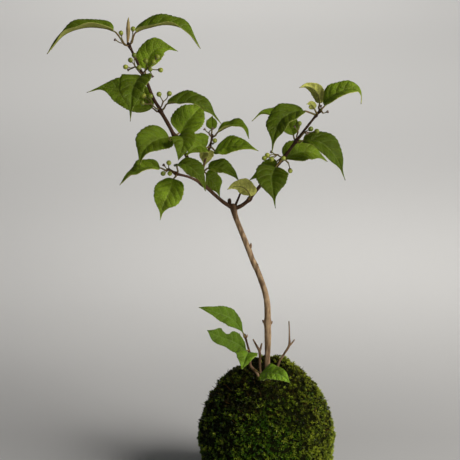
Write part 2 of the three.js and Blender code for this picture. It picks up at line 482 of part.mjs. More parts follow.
const BERRY_SIDES = 6;
const BERRY_ROWS = 4;

function berryHead({ on, hub, berries, cups }) {
  const start = stalkStart(on, vec(hub));
  const pieces = [limb([[...start, STALK], [...hub, HUB]], STALK_SIDES)];
  const heads = [...berries.map((at) => [at, BERRY_RADIUS]), ...cups.map((at) => [at, CUP_RADIUS])];
  heads.forEach(([at, radius]) => {
    pieces.push(limb([[...hub, STALK], [...at, STALK]], STALK_SIDES));
    const ball = new THREE.SphereGeometry(radius, BERRY_SIDES, BERRY_ROWS);
    ball.translate(...at);
    pieces.push(ball);
  });
  return toGeometry(joined(pieces));
}

HEADS.forEach((entry) => addPiece(entry.name, berryHead(entry), 0x8fa63c, 0.5));

export default group;
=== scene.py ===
# A kokedama: a small berry-bearing shrub that grows out of a ball of soil wrapped in living moss.
# Metres, +Z up, in the frame of the solid model. The plant shows its -Y side, and the ball rests at z = 0.
from math import cos, pi, radians, sin

import bmesh
import bpy
import numpy as np
from mathutils import Matrix, Vector, noise


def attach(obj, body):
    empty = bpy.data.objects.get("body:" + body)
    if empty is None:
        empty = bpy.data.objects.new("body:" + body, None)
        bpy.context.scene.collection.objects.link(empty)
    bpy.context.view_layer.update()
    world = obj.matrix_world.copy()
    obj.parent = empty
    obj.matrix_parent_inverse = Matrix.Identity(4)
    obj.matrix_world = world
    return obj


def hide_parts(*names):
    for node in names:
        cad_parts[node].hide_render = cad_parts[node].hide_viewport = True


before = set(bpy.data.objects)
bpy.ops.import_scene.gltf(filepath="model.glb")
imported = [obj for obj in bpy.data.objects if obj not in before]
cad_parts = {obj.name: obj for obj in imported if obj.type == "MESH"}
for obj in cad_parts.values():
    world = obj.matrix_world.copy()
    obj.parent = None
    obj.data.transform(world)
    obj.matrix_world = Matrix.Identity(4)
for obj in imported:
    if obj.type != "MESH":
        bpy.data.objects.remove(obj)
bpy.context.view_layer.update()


# Camera. A long lens from a little above the plant, looking slightly down, as one photographs a small
# plant on a shelf. The ball's underside falls just outside the frame.
scene = bpy.context.scene


def put_in_scene(name, data):
    placed = bpy.data.objects.new(name, data)
    scene.collection.objects.link(placed)
    return placed


camera = put_in_scene("camera", bpy.data.cameras.new("camera"))
camera.data.lens = 109.57
camera.location = (-0.0229, -0.817, 0.389)
camera.rotation_euler = (radians(75.16), 0, 0)
scene.camera = camera
scene.view_settings.view_transform = "Standard"


# Floor and light. A plain pale floor that runs out of sight. A large soft lamp to the right of the viewer
# lights the plant and a dim one opens its left. Three behind it face away and keep the far floor as pale.
def add_node(tree, kind, inputs=None, **settings):
    """One more shader node: settings are its own options, inputs the values or sockets that feed it."""
    added = tree.nodes.new("ShaderNode" + kind)
    for option, value in settings.items():
        setattr(added, option, value)
    for socket, value in (inputs or {}).items():
        if isinstance(value, bpy.types.NodeSocket):
            tree.links.new(value, added.inputs[socket])
        else:
            added.inputs[socket].default_value = value
    return added


def blend(tree, share, first, second, mode="MIX"):
    """The colour that lies a share of the way from the first to the second."""
    mixed = add_node(tree, "Mix", {0: share, 6: first, 7: second}, data_type="RGBA", blend_type=mode)
    return mixed.outputs[2]


def start_material(name, **sockets):
    """A new material and its nodes. Values that are the same all over go straight onto the shader."""
    material = bpy.data.materials.new(name)
    material.use_nodes = True
    shader = material.node_tree.nodes["Principled BSDF"]
    for socket, value in sockets.items():
        shader.inputs[socket.replace("_", " ")].default_value = value
    return material, material.node_tree


def set_colour(tree, colour):
    tree.links.new(colour, tree.nodes["Principled BSDF"].inputs["Base Color"])


def to_mesh(name, form):
    mesh = bpy.data.meshes.new(name)
    form.to_mesh(mesh)
    form.free()
    return mesh


FLOOR_COLOUR = (0.77, 0.76, 0.74, 1)
FLOOR_CLOUDS = (0.8, 0.79, 0.77, 1)
FLOOR_REACH = 8
floor_form = bmesh.new()
bmesh.ops.create_grid(floor_form, x_segments=1, y_segments=1, size=FLOOR_REACH)
floor = put_in_scene("floor", to_mesh("floor", floor_form))
paint, tree = start_material("floor_paint", Roughness=0.9, Specular_IOR_Level=0.0)
cloudy = add_node(tree, "TexNoise", {"Scale": 1.2, "Detail": 2.0}).outputs["Fac"]
set_colour(tree, blend(tree, cloudy, FLOOR_COLOUR, FLOOR_CLOUDS))
floor.data.materials.append(paint)


def add_lamp(name, place, aim, size, power, colour):
    """A square soft lamp, in metres and watts."""
    lamp = put_in_scene(name, bpy.data.lights.new(name, "AREA"))
    lamp.data.size = size
    lamp.data.energy = power
    lamp.data.color = colour
    lamp.location = place
    lamp.rotation_euler = (Vector(aim) - Vector(place)).to_track_quat("-Z", "Y").to_euler()


add_lamp("window", (1.16, -0.81, 0.95), (0, 0, 0.14), 1.0, 24, (1, 0.98, 0.95))
add_lamp("room", (-0.3, -1.6, 0.9), (0, 0, 0.15), 1.2, 0.8, (0.95, 0.97, 1))
add_lamp("floor_near", (0.07, 0.35, 0.6), (0.07, 1.27, 0.2), 0.4, 2.7, (1, 0.99, 0.97))
add_lamp("floor_middle", (0, 1.4, 1.6), (0, 2.23, 1.05), 1.2, 18, (1, 0.99, 0.97))
add_lamp("floor_far", (0, 3.4, 1.8), (0, 3.92, 0.95), 1.6, 22.5, (1, 0.99, 0.97))
world = bpy.data.worlds.new("sky")
world.use_nodes = True
sky = world.node_tree.nodes["Background"].inputs
sky["Color"].default_value = (0.93, 0.95, 1, 1)
sky["Strength"].default_value = 0.065
scene.world = world


# Soil ball. Dark, moist, crumbly soil pressed into an egg that is cut flat where it rests. It shows only
# in the planting hollow round the stems, between the moss and the bark.
# From here on sizes are in millimetres, and every mesh is brought to metres as it is written.
MM = 0.001
BALL_RADIUS = 43     # of the whole ball, moss and all
BALL_MIDDLE = 37     # height of its widest ring
BALL_UP = 53.5       # its reach above that ring, and below it before the cut
BALL_DOWN = 39.5
SHOULDER = 1.08      # above 1, the upper half draws in sooner than an egg's
COAT = 5.5           # thickness of the moss
SOIL_GAP = 0.4
SOIL_FLAT = 2.5      # height of the soil's flat underside


def on_ball(out, inset):
    """The point of the ball's surface, in millimetres, that lies inset deep in a unit direction."""
    spread = np.hypot(out[:, 0], out[:, 1])
    upper = out[:, 2] > 0
    draw_in = np.where(upper, np.maximum(spread, 1e-6) ** (SHOULDER - 1), 1)
    height = np.where(upper, BALL_UP, BALL_DOWN) - inset
    side = (BALL_RADIUS - inset) * draw_in
    return np.stack([side * out[:, 0], side * out[:, 1], BALL_MIDDLE + height * out[:, 2]], axis=1)


def unit_sphere(name):
    """A fine sphere to be shaped. Its points are unit directions."""
    form = bmesh.new()
    bmesh.ops.create_icosphere(form, subdivisions=6, radius=1)
    return to_mesh(name, form)


def read_points(mesh):
    places = np.empty(len(mesh.vertices) * 3)
    mesh.vertices.foreach_get("co", places)
    return places.reshape(-1, 3)


def write_points(mesh, places):
    mesh.vertices.foreach_set("co", places.ravel())
    mesh.update()


def rough(places, step, seed=0):
    """Smooth random relief from -1 to 1, with bumps about step apart, at each point."""
    shift = Vector((seed * 7.3, seed * 3.1, seed * 5.7))
    return np.array([noise.noise(Vector(place) / step + shift) for place in places])


def finish_piece(name, mesh, materials, slot, *nodes, smooth=True):
    """Puts a finished mesh on the plant, in the place of the solids that it stands for."""
    if smooth:
        mesh.shade_smooth()
    piece = put_in_scene(name, mesh)
    for material in materials:
        mesh.materials.append(material)
    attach(piece, "root")
    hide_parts(*nodes)
    return piece


def cloud_noise(tree, scale, detail=2.0, spot=None):
    """Random clouds, so many to the metre, over the piece's own place or over a given one."""
    if spot is None:
        spot = add_node(tree, "TexCoord").outputs["Object"]
    clouds = add_node(tree, "TexNoise", {"Vector": spot, "Scale": scale, "Detail": detail})
    return clouds.outputs["Fac"]


def set_relief(tree, height, strength, distance):
    """Relief that is too fine to model, up to a distance in metres."""
    bump = add_node(tree, "Bump", {"Height": height, "Strength": strength, "Distance": distance})
    tree.links.new(bump.outputs["Normal"], tree.nodes["Principled BSDF"].inputs["Normal"])


earth, tree = start_material("damp_soil", Roughness=0.95, Specular_IOR_Level=0.1)
crumbs = cloud_noise(tree, 900.0, 6.0)
set_colour(tree, blend(tree, crumbs, (0.004, 0.003, 0.0015, 1), (0.035, 0.021, 0.01, 1)))
set_relief(tree, crumbs, 0.8, 0.0006)

soil = unit_sphere("soil")
out = read_points(soil)
places = on_ball(out, COAT + SOIL_GAP)
places += out * (0.9 * rough(places, 3.2, 1) + 0.5 * rough(places, 1.3, 2))[:, None]
places[:, 2] = np.maximum(places[:, 2], SOIL_FLAT)
write_points(soil, places * MM)
finish_piece("soil", soil, [earth], "soil", "soil_core")


# Moss coat. A thin living mat that is wrapped round the soil: a dark felt of old stems in low cushions,
# drawn in at the planting hollow, tufted on the crown and pressed flat where the ball rests. Its near black
# colour is partly the old stems and partly painted shade in the gaps between the shoots.
HOLLOW = (0, -9)
HOLLOW_RADIUS = 10
HOLLOW_DEPTH = 3.8
HUMP = 0.5
FELT_INSET = 2.2                            # how far the felt lies below the tips of the shoots
CROWN_TUFTS = ((7, 3, 2.4), (-6, -17, 3))   # each one's x, y and height
TUFT_SPREAD = 45                            # in square millimetres
FLANK = 1.6                                 # how far the ball bulges just below its widest ring


def cushions(out):
    """Height, in millimetres, of the broad low humps of the moss in a unit direction."""
    x, y, z = out[:, 0], out[:, 1], out[:, 2]
    crossing = np.sin(7 * x + 2) * np.sin(6 * y + 5 * z)
    leaning = np.sin(9 * z - 6 * x + 1)
    fade = np.sin(3 * np.arccos(np.clip(np.abs(z), 0, 1))) ** 2
    return HUMP * (crossing + leaning) * fade


def smooth_step(value, low, high):
    share = np.clip((value - low) / (high - low), 0, 1)
    return share * share * (3 - 2 * share)


def near_hollow(places):
    """1 in the planting hollow, falling to 0 over its rim."""
    away = np.hypot(places[:, 0] - HOLLOW[0], places[:, 1] - HOLLOW[1])
    inside = 1 - smooth_step(away, HOLLOW_RADIUS - 4, HOLLOW_RADIUS + 3)
    return np.where(places[:, 2] > BALL_MIDDLE, inside, 0)


def moss_surface(out):
    """Where the felt of the moss lies in a unit direction, in millimetres."""
    places = on_ball(out, FELT_INSET)
    lift = cushions(out) + 1.1 * rough(places, 9, 3) + 0.5 * rough(places, 3.5, 4)
    lift -= HOLLOW_DEPTH * near_hollow(places)
    for x, y, rise in CROWN_TUFTS:
        away = (places[:, 0] - x) ** 2 + (places[:, 1] - y) ** 2
        lift += rise * np.exp(-away / TUFT_SPREAD) * (places[:, 2] > BALL_MIDDLE)
    lift += FLANK * smooth_step(-out[:, 2], 0.05, 0.4) * (1 - smooth_step(-out[:, 2], 0.55, 0.85))
    places += out * lift[:, None]
    places[:, 2] = np.maximum(places[:, 2], 0)
    return places


# Painted shade: the felt's near black stands partly for the shade in the gaps between the shoots.
felt, tree = start_material("moss_felt", Roughness=1.0, Specular_IOR_Level=0.05)
grain = cloud_noise(tree, 700.0, 4.0)
old = blend(tree, cloud_noise(tree, 60.0), (0.004, 0.004, 0.001, 1), (0.012, 0.008, 0.003, 1))
set_colour(tree, blend(tree, grain, old, (0.008, 0.012, 0.002, 1)))
set_relief(tree, grain, 1.0, 0.001)

coat = unit_sphere("moss_coat_felt")
write_points(coat, moss_surface(read_points(coat)) * MM)
finish_piece("moss_coat_felt", coat, [felt], "moss", "moss_coat")


# Moss shoots. Thousands of tiny leafy shoots stand on the felt. Each is a star of pointed leaves about two
# millimetres across, some fresh yellow-green and some dull, darkening to near black at their feet: dark old
# stems, and painted shade in the gaps between them. Thin dry stalks stick out of the moss, most of them
# round the crown.
STARS = 18500
STAR_LEAVES = (1, 0.55, 0.85, 0.4, 1)   # how bright each leaf of a star is at its tip; the last is upright
LEAN = radians(48)                      # of the other leaves
LARGE_SHARE = 0.12                      # of the shoots are larger and brighter than the rest
CLUMP_RISE = 1.8                        # how far the clumps stand out of the felt
# The middles of a sunny, a worn and a lush patch, and how far each spreads, in square millimetres.
PATCHES = (((14, 5, 86), 110), ((26, -24, 62), 60), ((-1, -38, 52), 260))
star_form = bmesh.new()
tip_height = star_form.verts.layers.float.new("tip")
for number, glow in enumerate(STAR_LEAVES):
    upright = number == len(STAR_LEAVES) - 1
    long = 1.9 if upright else 1.7
    turn = Matrix.Rotation(2 * pi * number / (len(STAR_LEAVES) - 1), 4, "Z")
    turn @= Matrix.Rotation(0 if upright else LEAN, 4, "Y")
    for narrow, wide, foot in ((0, 0.36, -0.3), (0.36, 0, -0.3 + long / 2)):
        place = Matrix.Translation((0, 0, foot + long / 4)) @ Matrix.Diagonal((0.55, 1, 1, 1))
        made = bmesh.ops.create_cone(star_form, segments=3, radius1=narrow, radius2=wide, depth=long / 2,
                                     matrix=turn @ place)
        for vert in made["verts"]:
            vert[tip_height] = min(max((vert.co.length + 0.1) / long, 0), 1) * glow
bmesh.ops.remove_doubles(star_form, verts=star_form.verts, dist=1e-4)
bmesh.ops.triangulate(star_form, faces=star_form.faces)
bmesh.ops.recalc_face_normals(star_form, faces=star_form.faces)
star = to_mesh("star", star_form)
star_points = read_points(star)
star_tips = np.array([value.value for value in star.attributes["tip"].data])
star_faces = np.array([face.vertices for face in star.polygons])
bpy.data.meshes.remove(star)


def golden_spread(count, rng):
    """Unit directions spread evenly over a sphere, each nudged a little at random."""
    order = np.arange(count) + 0.5
    z = 1 - 2 * order / count
    turn = order * pi * (3 - 5 ** 0.5)
    ring = np.sqrt(1 - z * z)
    out = np.stack([ring * np.cos(turn), ring * np.sin(turn), z], axis=1)
    out += rng.normal(0, 0.45 * (4 * pi / count) ** 0.5, out.shape)
    return out / np.linalg.norm(out, axis=1)[:, None]


def unit(vectors):
    return vectors / np.linalg.norm(vectors, axis=-1)[..., None]


def off_ball(out):
    """The direction square to the ball's surface."""
    tall = np.where(out[:, 2] > 0, BALL_UP, BALL_DOWN)
    return unit(np.stack([out[:, 0] / BALL_RADIUS, out[:, 1] / BALL_RADIUS, out[:, 2] / tall], axis=1))


def repeat_shape(name, points, faces, feet, grows, size, rng):
    """Many turned and sized copies of a small shape as one mesh, each standing on its foot."""
    across = unit(np.cross(grows, rng.normal(0, 1, grows.shape)))
    axes = np.stack([across, np.cross(grows, across), grows], axis=1)
    places = np.einsum("vk,nkd->nvd", points, axes) * size[:, None, None] + feet[:, None, :]
    places[..., 2] = np.maximum(places[..., 2], 0)
    mesh = bpy.data.meshes.new(name)
    corners = faces[None] + len(points) * np.arange(len(feet))[:, None, None]
    mesh.from_pydata(places.reshape(-1, 3) * MM, [], corners.reshape(-1, 3))
    return mesh


rng = np.random.default_rng(11)
out = golden_spread(STARS, rng)
feet = moss_surface(out)
hollow = near_hollow(feet)
clump = 0.7 * rough(feet, 4.2, 8) + 0.75 * rough(feet, 1.9, 9)
stays = (feet[:, 2] > 0.6) & (rng.random(STARS) > 0.5 * hollow)
out, feet, hollow, clump = (part[stays] for part in (out, feet, hollow, clump))
square = off_ball(out)
feet += square * (CLUMP_RISE * clump + rng.normal(0, 0.3, len(out)))[:, None]
sway = np.stack([rough(feet, 4, seed) for seed in (10, 11, 12)], axis=1)
grows = unit(square + 0.7 * sway + (0, 0, 0.15) + rng.normal(0, 0.28, feet.shape))
large = rng.random(len(out)) < LARGE_SHARE
size = rng.uniform(0.7, 1.1, len(out)) * np.where(large, 1.4, 1) * (1 - 0.3 * hollow)

# Three shares say how a shoot looks. Golden: most to the right and in the sunny patch; its rise to the right,
# towards the lamp, is partly painted light and partly real yellowing. Brown: round the crown, in the worn
# patch and in the hollow, where it is partly painted shade under the stems. Lit and lively: painted light on
# the clumps and to the right, painted shade in the dips and to the left, brighter low down, with random
# change.
sunny, worn, lush = (np.exp(-np.sum((feet - middle) ** 2, axis=1) / spread) for middle, spread in PATCHES)
x, y, z = feet.T
# Painted light: the shoots grow more golden towards the lamp on the right.
golden = smooth_step(x + 8 * rough(feet, 12, 5), -8, 42) * 0.6 + 0.6 * sunny - 0.1 * lush
golden += 0.3 * rough(feet, 5, 6) + 0.2 * clump + rng.normal(0, 0.14, len(out)) + 0.35 * large
brown = smooth_step(z + 16 * rough(feet, 9, 7) - 0.05 * x - 0.2 * y, 62, 84)
# Painted shade: the shoots in the hollow under the stems are browner and darker.
brown = brown * 0.9 + 0.5 * hollow - 0.9 * sunny + 0.5 * worn + rng.normal(0, 0.25, len(out)) - 0.5 * large
brown = np.clip(brown, 0, 1)
# Painted light and shade: brighter on the clumps and to the right, darker in the dips and to the left.
lit_and_lively = 0.45 + 0.9 * clump + 0.5 * rough(feet, 8, 13) + rng.normal(0, 0.32, len(out)) + 0.5 * large
lit_and_lively += 0.28 * smooth_step(-z, -62, -25) - 0.42 * smooth_step(-x, 8, 36) + 0.16 * smooth_step(x, 8, 32)
lit_and_lively += 0.5 * sunny - 0.5 * worn + 0.35 * lush - 0.4 * smooth_step(x, 30, 40) * smooth_step(z, 30, 55)
lit_and_lively = np.clip(lit_and_lively, 0.04, 1)


def read_layer(tree, name):
    """The value that the mesh itself carries at each point."""
    return add_node(tree, "Attribute", attribute_name=name).outputs["Fac"]


fresh, tree = start_material("moss_leaves", Roughness=0.4, Specular_IOR_Level=0.25)
warm = read_layer(tree, "golden")
point = blend(tree, warm, (0.1, 0.29, 0.004, 1), (0.82, 0.93, 0.07, 1))
point = blend(tree, read_layer(tree, "brown"), point, (0.085, 0.06, 0.006, 1))
# Painted shade: the near black feet of the shoots stand partly for the shade between them.
foot = blend(tree, warm, (0.002, 0.003, 0.0004, 1), (0.012, 0.015, 0.001, 1))
# The tip layer also carries each shoot's painted light and shade.
set_colour(tree, blend(tree, read_layer(tree, "tip"), foot, point))

quarter = np.floor((np.arctan2(feet[:, 1], feet[:, 0]) / (2 * pi) % 1) * 4).astype(int)
for number, name in enumerate(("moss_right_back", "moss_left_back", "moss_left_front", "moss_right_front")):
    chosen = quarter == number
    mesh = repeat_shape(name, star_points, star_faces, feet[chosen], grows[chosen], size[chosen], rng)
    for label, values in (("tip", np.outer(lit_and_lively[chosen], star_tips).ravel()),
                          ("golden", np.repeat(np.clip(golden[chosen], 0, 1), len(star_points))),
                          ("brown", np.repeat(brown[chosen], len(star_points)))):
        mesh.attributes.new(label, "FLOAT", "POINT").data.foreach_set("value", values.astype(np.float32))
    finish_piece(name, mesh, [fresh], "moss", "moss_coat", smooth=False)

STALKS = 700
dry_stalk, tree = start_material("moss_stalks", Roughness=0.8, Specular_IOR_Level=0.05)
mottle = cloud_noise(tree, 500.0)
set_colour(tree, blend(tree, mottle, (0.02, 0.01, 0.003, 1), (0.13, 0.075, 0.02, 1)))
stalk_points = np.array([(0.09, 0, 0), (-0.045, 0.08, 0), (-0.045, -0.08, 0), (0, 0, 1)])
stalk_faces = np.array([(0, 2, 1), (0, 1, 3), (1, 2, 3), (2, 0, 3)])
out = golden_spread(STALKS, rng)
out = out[rng.random(STALKS) < smooth_step(out[:, 2], -0.5, 0.9)]
feet = moss_surface(out)
grows = unit(off_ball(out) + rng.normal(0, 0.45, out.shape) + (0, 0, 0.2))
length = rng.uniform(2.6, 4.8, len(out))
mesh = repeat_shape("moss_stalks", stalk_points, stalk_faces, feet, grows, length, rng)
finish_piece("moss_stalks", mesh, [dry_stalk], "moss", "moss_coat", smooth=False)


# Woody stem. One plant: a tan trunk out of the soil, a knuckle where it forks, and purple-brown young
# branches with a swollen ring at each pair of leaves. Each limb is a list of (x, y, z, radius).
trunk = [
    (0, -5, 48, 1.6), (0, -6, 66, 1.8), (0, -7, 86, 1.7), (0, -7, 94, 1.65), (0.2, -7, 101, 1.85),
    (0.2, -7, 107, 2.05), (0, -7, 113, 2.1), (-0.1, -7, 116, 2.45), (0, -7, 118.5, 2), (-0.1, -6.5, 125, 1.9),
    (-0.8, -6, 131, 1.8), (-2.2, -6, 137, 1.75), (-6.2, -4.5, 148, 1.7), (-8, -4, 152, 1.85),
    (-9.6, -4, 155.5, 1.65), (-11.8, -3, 161.5, 1.75), (-14, -2.6, 167, 1.6), (-18.4, -1, 177.8, 1.6),
    (-20.2, 0, 183, 1.75), (-20.7, 0, 186.2, 2.1), (-21.4, 0, 188.6, 1.2),
]
leader = [
    (-20, 0, 185, 1.5), (-22.4, 0, 187, 1.35), (-26.4, 0, 189.5, 1.15), (-31.7, 1, 193.8, 1.05),
    (-36.2, 1, 198, 1.1), (-40.6, 1, 201.6, 1.4), (-42.4, 1.5, 204.4, 1.1), (-45.6, 2, 210, 1.1),
    (-50, 2, 220, 1.1), (-55, 3, 227.6, 1.2), (-56, 3, 229.6, 1.6), (-57, 3, 231.6, 1.2),
    (-60, 3, 237.5, 1.15), (-63.3, 4, 243, 1.2),
    (-64.2, 4, 244.6, 1.55), (-65, 4, 246.4, 1.1), (-68, 4, 251.5, 1), (-71.3, 4, 260, 0.95),
    (-73.9, 4, 265.3, 1.4), (-74.8, 4, 267.2, 0.9), (-76.5, 5, 271, 0.8), (-80.5, 5, 280, 0.75),
    (-82.3, 5, 283.6, 1.15), (-82.8, 5, 285, 0.7),
]
side_branch = [
    (-40.5, 1, 201.5, 1.1), (-43.5, -1, 203.7, 0.85), (-48, -3.5, 206.3, 0.75), (-53, -7, 208.4, 0.85),
    (-54.8, -8, 209.2, 1.3), (-56.5, -9, 210.4, 0.8), (-59.5, -11.5, 212.6, 0.7),
]
inner_twig = [
    (-39.3, 1, 200.6, 0.9), (-39.6, 3, 204.4, 0.75), (-39.5, 5, 207.9, 1.1), (-38.8, 7, 210.6, 0.75),
    (-37.4, 9, 215.5, 0.7), (-35.6, 10.6, 220, 0.75), (-35.1, 11, 221.3, 1.15), (-34.5, 11.8, 223.6, 0.65),
    (-33.9, 12.6, 226.2, 0.7), (-33.6, 13, 227.6, 1), (-33.6, 13, 228.8, 0.55),
]
right_branch = [
    (-20.4, 0, 185.8, 1.4), (-16.2, -1, 187.8, 1.2), (-12.6, -2, 190.8, 1.2), (-11.2, -2, 192.2, 1.6),
    (-10, -2.4, 194, 1.15), (-6.2, -3, 199, 1.05), (0.9, -4, 208, 1.05), (7.4, -5, 216.2, 1.1),
    (8.6, -5, 217.6, 1.5), (10, -5, 219.6, 1.05), (15, -5, 226.6, 1), (16.2, -5, 228.2, 1.5),
    (17.3, -5.3, 230, 0.9), (23.3, -6, 238, 0.75), (26.8, -6, 242.6, 0.8), (27.6, -6, 243.6, 1.15),
    (28.4, -6, 244.7, 0.75), (30.2, -6, 246.6, 1.1), (30.8, -6, 247.4, 0.6),
]
thin_twig = [
    (-20, 0, 187, 0.8), (-18.4, 1, 190.6, 0.65), (-16.9, 3, 194, 0.6), (-16, 5, 196.4, 0.45),
]
knob = [(-21.6, 0, 186.4, 1.2), (-22.8, 0, 188.6, 0.9), (-23.2, 0, 190.6, 1.2), (-23.3, 0, 191.9, 0.8)]
low_shoot = [
    (-4.6, -12.4, 64, 0.9), (-5.2, -13.4, 78, 1), (-5.9, -14.4, 84.8, 1), (-8.4, -15.4, 88.8, 0.95),
    (-10.4, -15.3, 91.4, 0.9), (-10.6, -15, 95.6, 0.95), (-10.9, -15, 98.6, 1.15), (-11.5, -14.9, 101.4, 0.8),
    (-13.2, -14.2, 107.6, 0.75), (-13.8, -14, 109.6, 1), (-14.1, -14, 111.2, 0.6),
]
dead_left = [
    (-3.6, -10.4, 66, 0.75), (-4.1, -9.8, 80, 0.8), (-4.6, -9, 90, 0.8), (-4.9, -9, 98, 0.8),
    (-6.8, -9, 102, 0.65), (-8.8, -9, 106, 0.4),
]
dead_left_fork = [(-4.9, -9, 97.4, 0.65), (-4.2, -7.6, 99.8, 0.6), (-3.4, -6, 102.4, 0.4)]
dead_right = [
    (5, -6, 66, 0.7), (6, -5.6, 80, 0.75), (7, -5, 89, 0.75), (10.4, -4.4, 95, 0.65), (13.4, -4, 100.2, 0.75),
    (13.5, -3.6, 106, 0.5), (13.2, -3, 115.6, 0.35),
]
dead_right_fork = [(13.2, -4, 99.6, 0.6), (15, -2.4, 101, 0.5), (16.8, -1, 103, 0.35)]
buds = [
    [(-1.2, -7, 115.4), (-3.2, -7.3, 117.8)], [(1, -7, 114.6), (3, -7.2, 117)],
    [(-7.6, -4, 151), (-5.9, -4.6, 152.4)], [(-11, -3, 160.8), (-10.2, -3.9, 165.6)],
    [(-13.2, -14, 108.6), (-12.4, -14.7, 111)],
]


def through(points, per=24):
    """Points close together on the smooth curve through the given ones."""
    points = np.array(points, float)
    ends = np.vstack([2 * points[0] - points[1], points, 2 * points[-1] - points[-2]])
    steps = np.sqrt(np.linalg.norm(np.diff(ends[:, :3], axis=0), axis=1))[:, None]
    curve = []
    for i in range(1, len(ends) - 2):
        before, start, stop, after = ends[i - 1:i + 3]
        d0, d1, d2 = steps[i - 1:i + 2]
        leave = ((start - before) / d0 - (stop - before) / (d0 + d1) + (stop - start) / d1) * d1
        reach = ((stop - start) / d1 - (after - start) / (d1 + d2) + (after - stop) / d2) * d1
        t = np.linspace(0, 1, per, endpoint=i == len(ends) - 3)[:, None]
        curve.append(start + leave * t + (3 * (stop - start) - 2 * leave - reach) * t ** 2
                     + (2 * (start - stop) + leave + reach) * t ** 3)
    return np.vstack(curve)


def evenly(curve, places):
    """The curve's points at shares of its length from 0 to 1."""
    run = np.concatenate([[0], np.cumsum(np.linalg.norm(np.diff(curve[:, :3], axis=0), axis=1))])
    return np.stack([np.interp(np.asarray(places) * run[-1], run, column) for column in curve.T], axis=1)


def length_of(curve):
    return np.linalg.norm(np.diff(curve[:, :3], axis=0), axis=1).sum()


def directions(line):
    return unit(np.gradient(line[:, :3], axis=0))


def add_rolled_grid(form, sides, rows):
    """A grid rolled up by its columns: its points, and the turn and the row of each."""
    made = bmesh.ops.create_grid(form, x_segments=sides, y_segments=rows, size=1)["verts"]
    turn = np.array([round((vert.co.x + 1) / 2 * sides) for vert in made]) * 2 * pi / sides
    row = np.array([round((vert.co.y + 1) / 2 * rows) for vert in made])
    return made, turn, row


def close_roll(form, verts, slot):
    """Joins the edges of a rolled grid and gives its faces their material."""
    for face in {face for vert in verts for face in vert.link_faces}:
        face.material_index = slot
    bmesh.ops.remove_doubles(form, verts=verts, dist=1e-7)


BUD_RING = 0.12      # a point this much thicker than its neighbours is a bud ring
SCAR_SPREAD = 0.8    # of the dark band on it, in square millimetres
ROUND_END = 0.4      # a limb's rounded end, as a share of its radius


def grow_limb(form, points, sides, step=0.6, rough_bark=0.05, young=(0, 0), late=1, scars=0, slot=0):
    """A tapering round limb with rounded ends. Its layers say how young the wood is at each point, from
    the foot's value to the tip's, with a later change the larger late is, and where bud scars run."""
    line = through(points)
    rows = max(int(length_of(line) / step), 3)
    line = evenly(line, np.linspace(0, 1, rows))
    table = np.array(points, float)
    swells = [point for before, point, after in zip(table, table[1:], table[2:])
              if point[3] > before[3] + BUD_RING and point[3] > after[3] + BUD_RING]
    along = directions(line)
    right = unit(np.cross((0, 1, 0), along))
    up = np.cross(along, right)
    radius = line[:, 3]
    line = np.vstack([line[:1], line, line[-1:]])
    line[0, :3] -= along[0] * radius[0] * ROUND_END
    line[-1, :3] += along[-1] * radius[-1] * ROUND_END
    right, up = (np.vstack([way[:1], way, way[-1:]]) for way in (right, up))
    radius = np.concatenate([[0], radius, [0]])
    verts, turn, row = add_rolled_grid(form, sides, rows + 1)
    centre = line[row, :3]
    share = np.clip((row - 1) / max(rows - 1, 1), 0, 1)
    relief = 1 + rough_bark * np.array([
        noise.noise(Vector((2.2 * cos(a), 2.2 * sin(a), c[2] * 0.12 + c[0] * 0.05)))
        + 0.6 * noise.noise(Vector((4 * cos(a), 4 * sin(a), c[2] * 0.55 + c[0] * 0.3)))
        for a, c in zip(turn, centre)])
    spread = (radius[row] * relief)[:, None]
    places = centre + right[row] * spread * np.cos(turn)[:, None] + up[row] * spread * np.sin(turn)[:, None]
    age_layer = form.verts.layers.float["young"]
    scar_layer = form.verts.layers.float["scar"]
    for vert, place, part, core in zip(verts, places, share, centre):
        vert.co = Vector(place) * MM
        vert[age_layer] = young[0] + (young[1] - young[0]) * part ** late
        nearness = (np.exp(-np.sum((core - swell[:3]) ** 2) / SCAR_SPREAD) for swell in swells)
        vert[scar_layer] = scars * max(nearness, default=0)
    close_roll(form, verts, slot)


def start_wood():
    form = bmesh.new()
    form.verts.layers.float.new("young")
    form.verts.layers.float.new("scar")
    return form


def grow_bud(form, foot, point, wide=0.9, age=0.35):
    middle = np.array(foot) * 0.45 + np.array(point) * 0.55
    grow_limb(form, [(*foot, wide * 0.8), (*middle, wide), (*point, 0.2)], 12, step=0.25, young=(age, age))


def finish_wood(name, form, materials, slot, node):
    bmesh.ops.recalc_face_normals(form, faces=form.faces)
    return finish_piece(name, to_mesh(name, form), materials, slot, node)


def ramp(tree, value, low, high, start=0.0, end=1.0):
    """Start where a value is low, end where it is high, and straight in between."""
    return add_node(tree, "MapRange", {0: value, 1: low, 2: high, 3: start, 4: end}).outputs[0]


PORE_COLOUR = (0.3, 0.22, 0.14, 1)
SCAR_COLOUR = (0.035, 0.02, 0.015, 1)


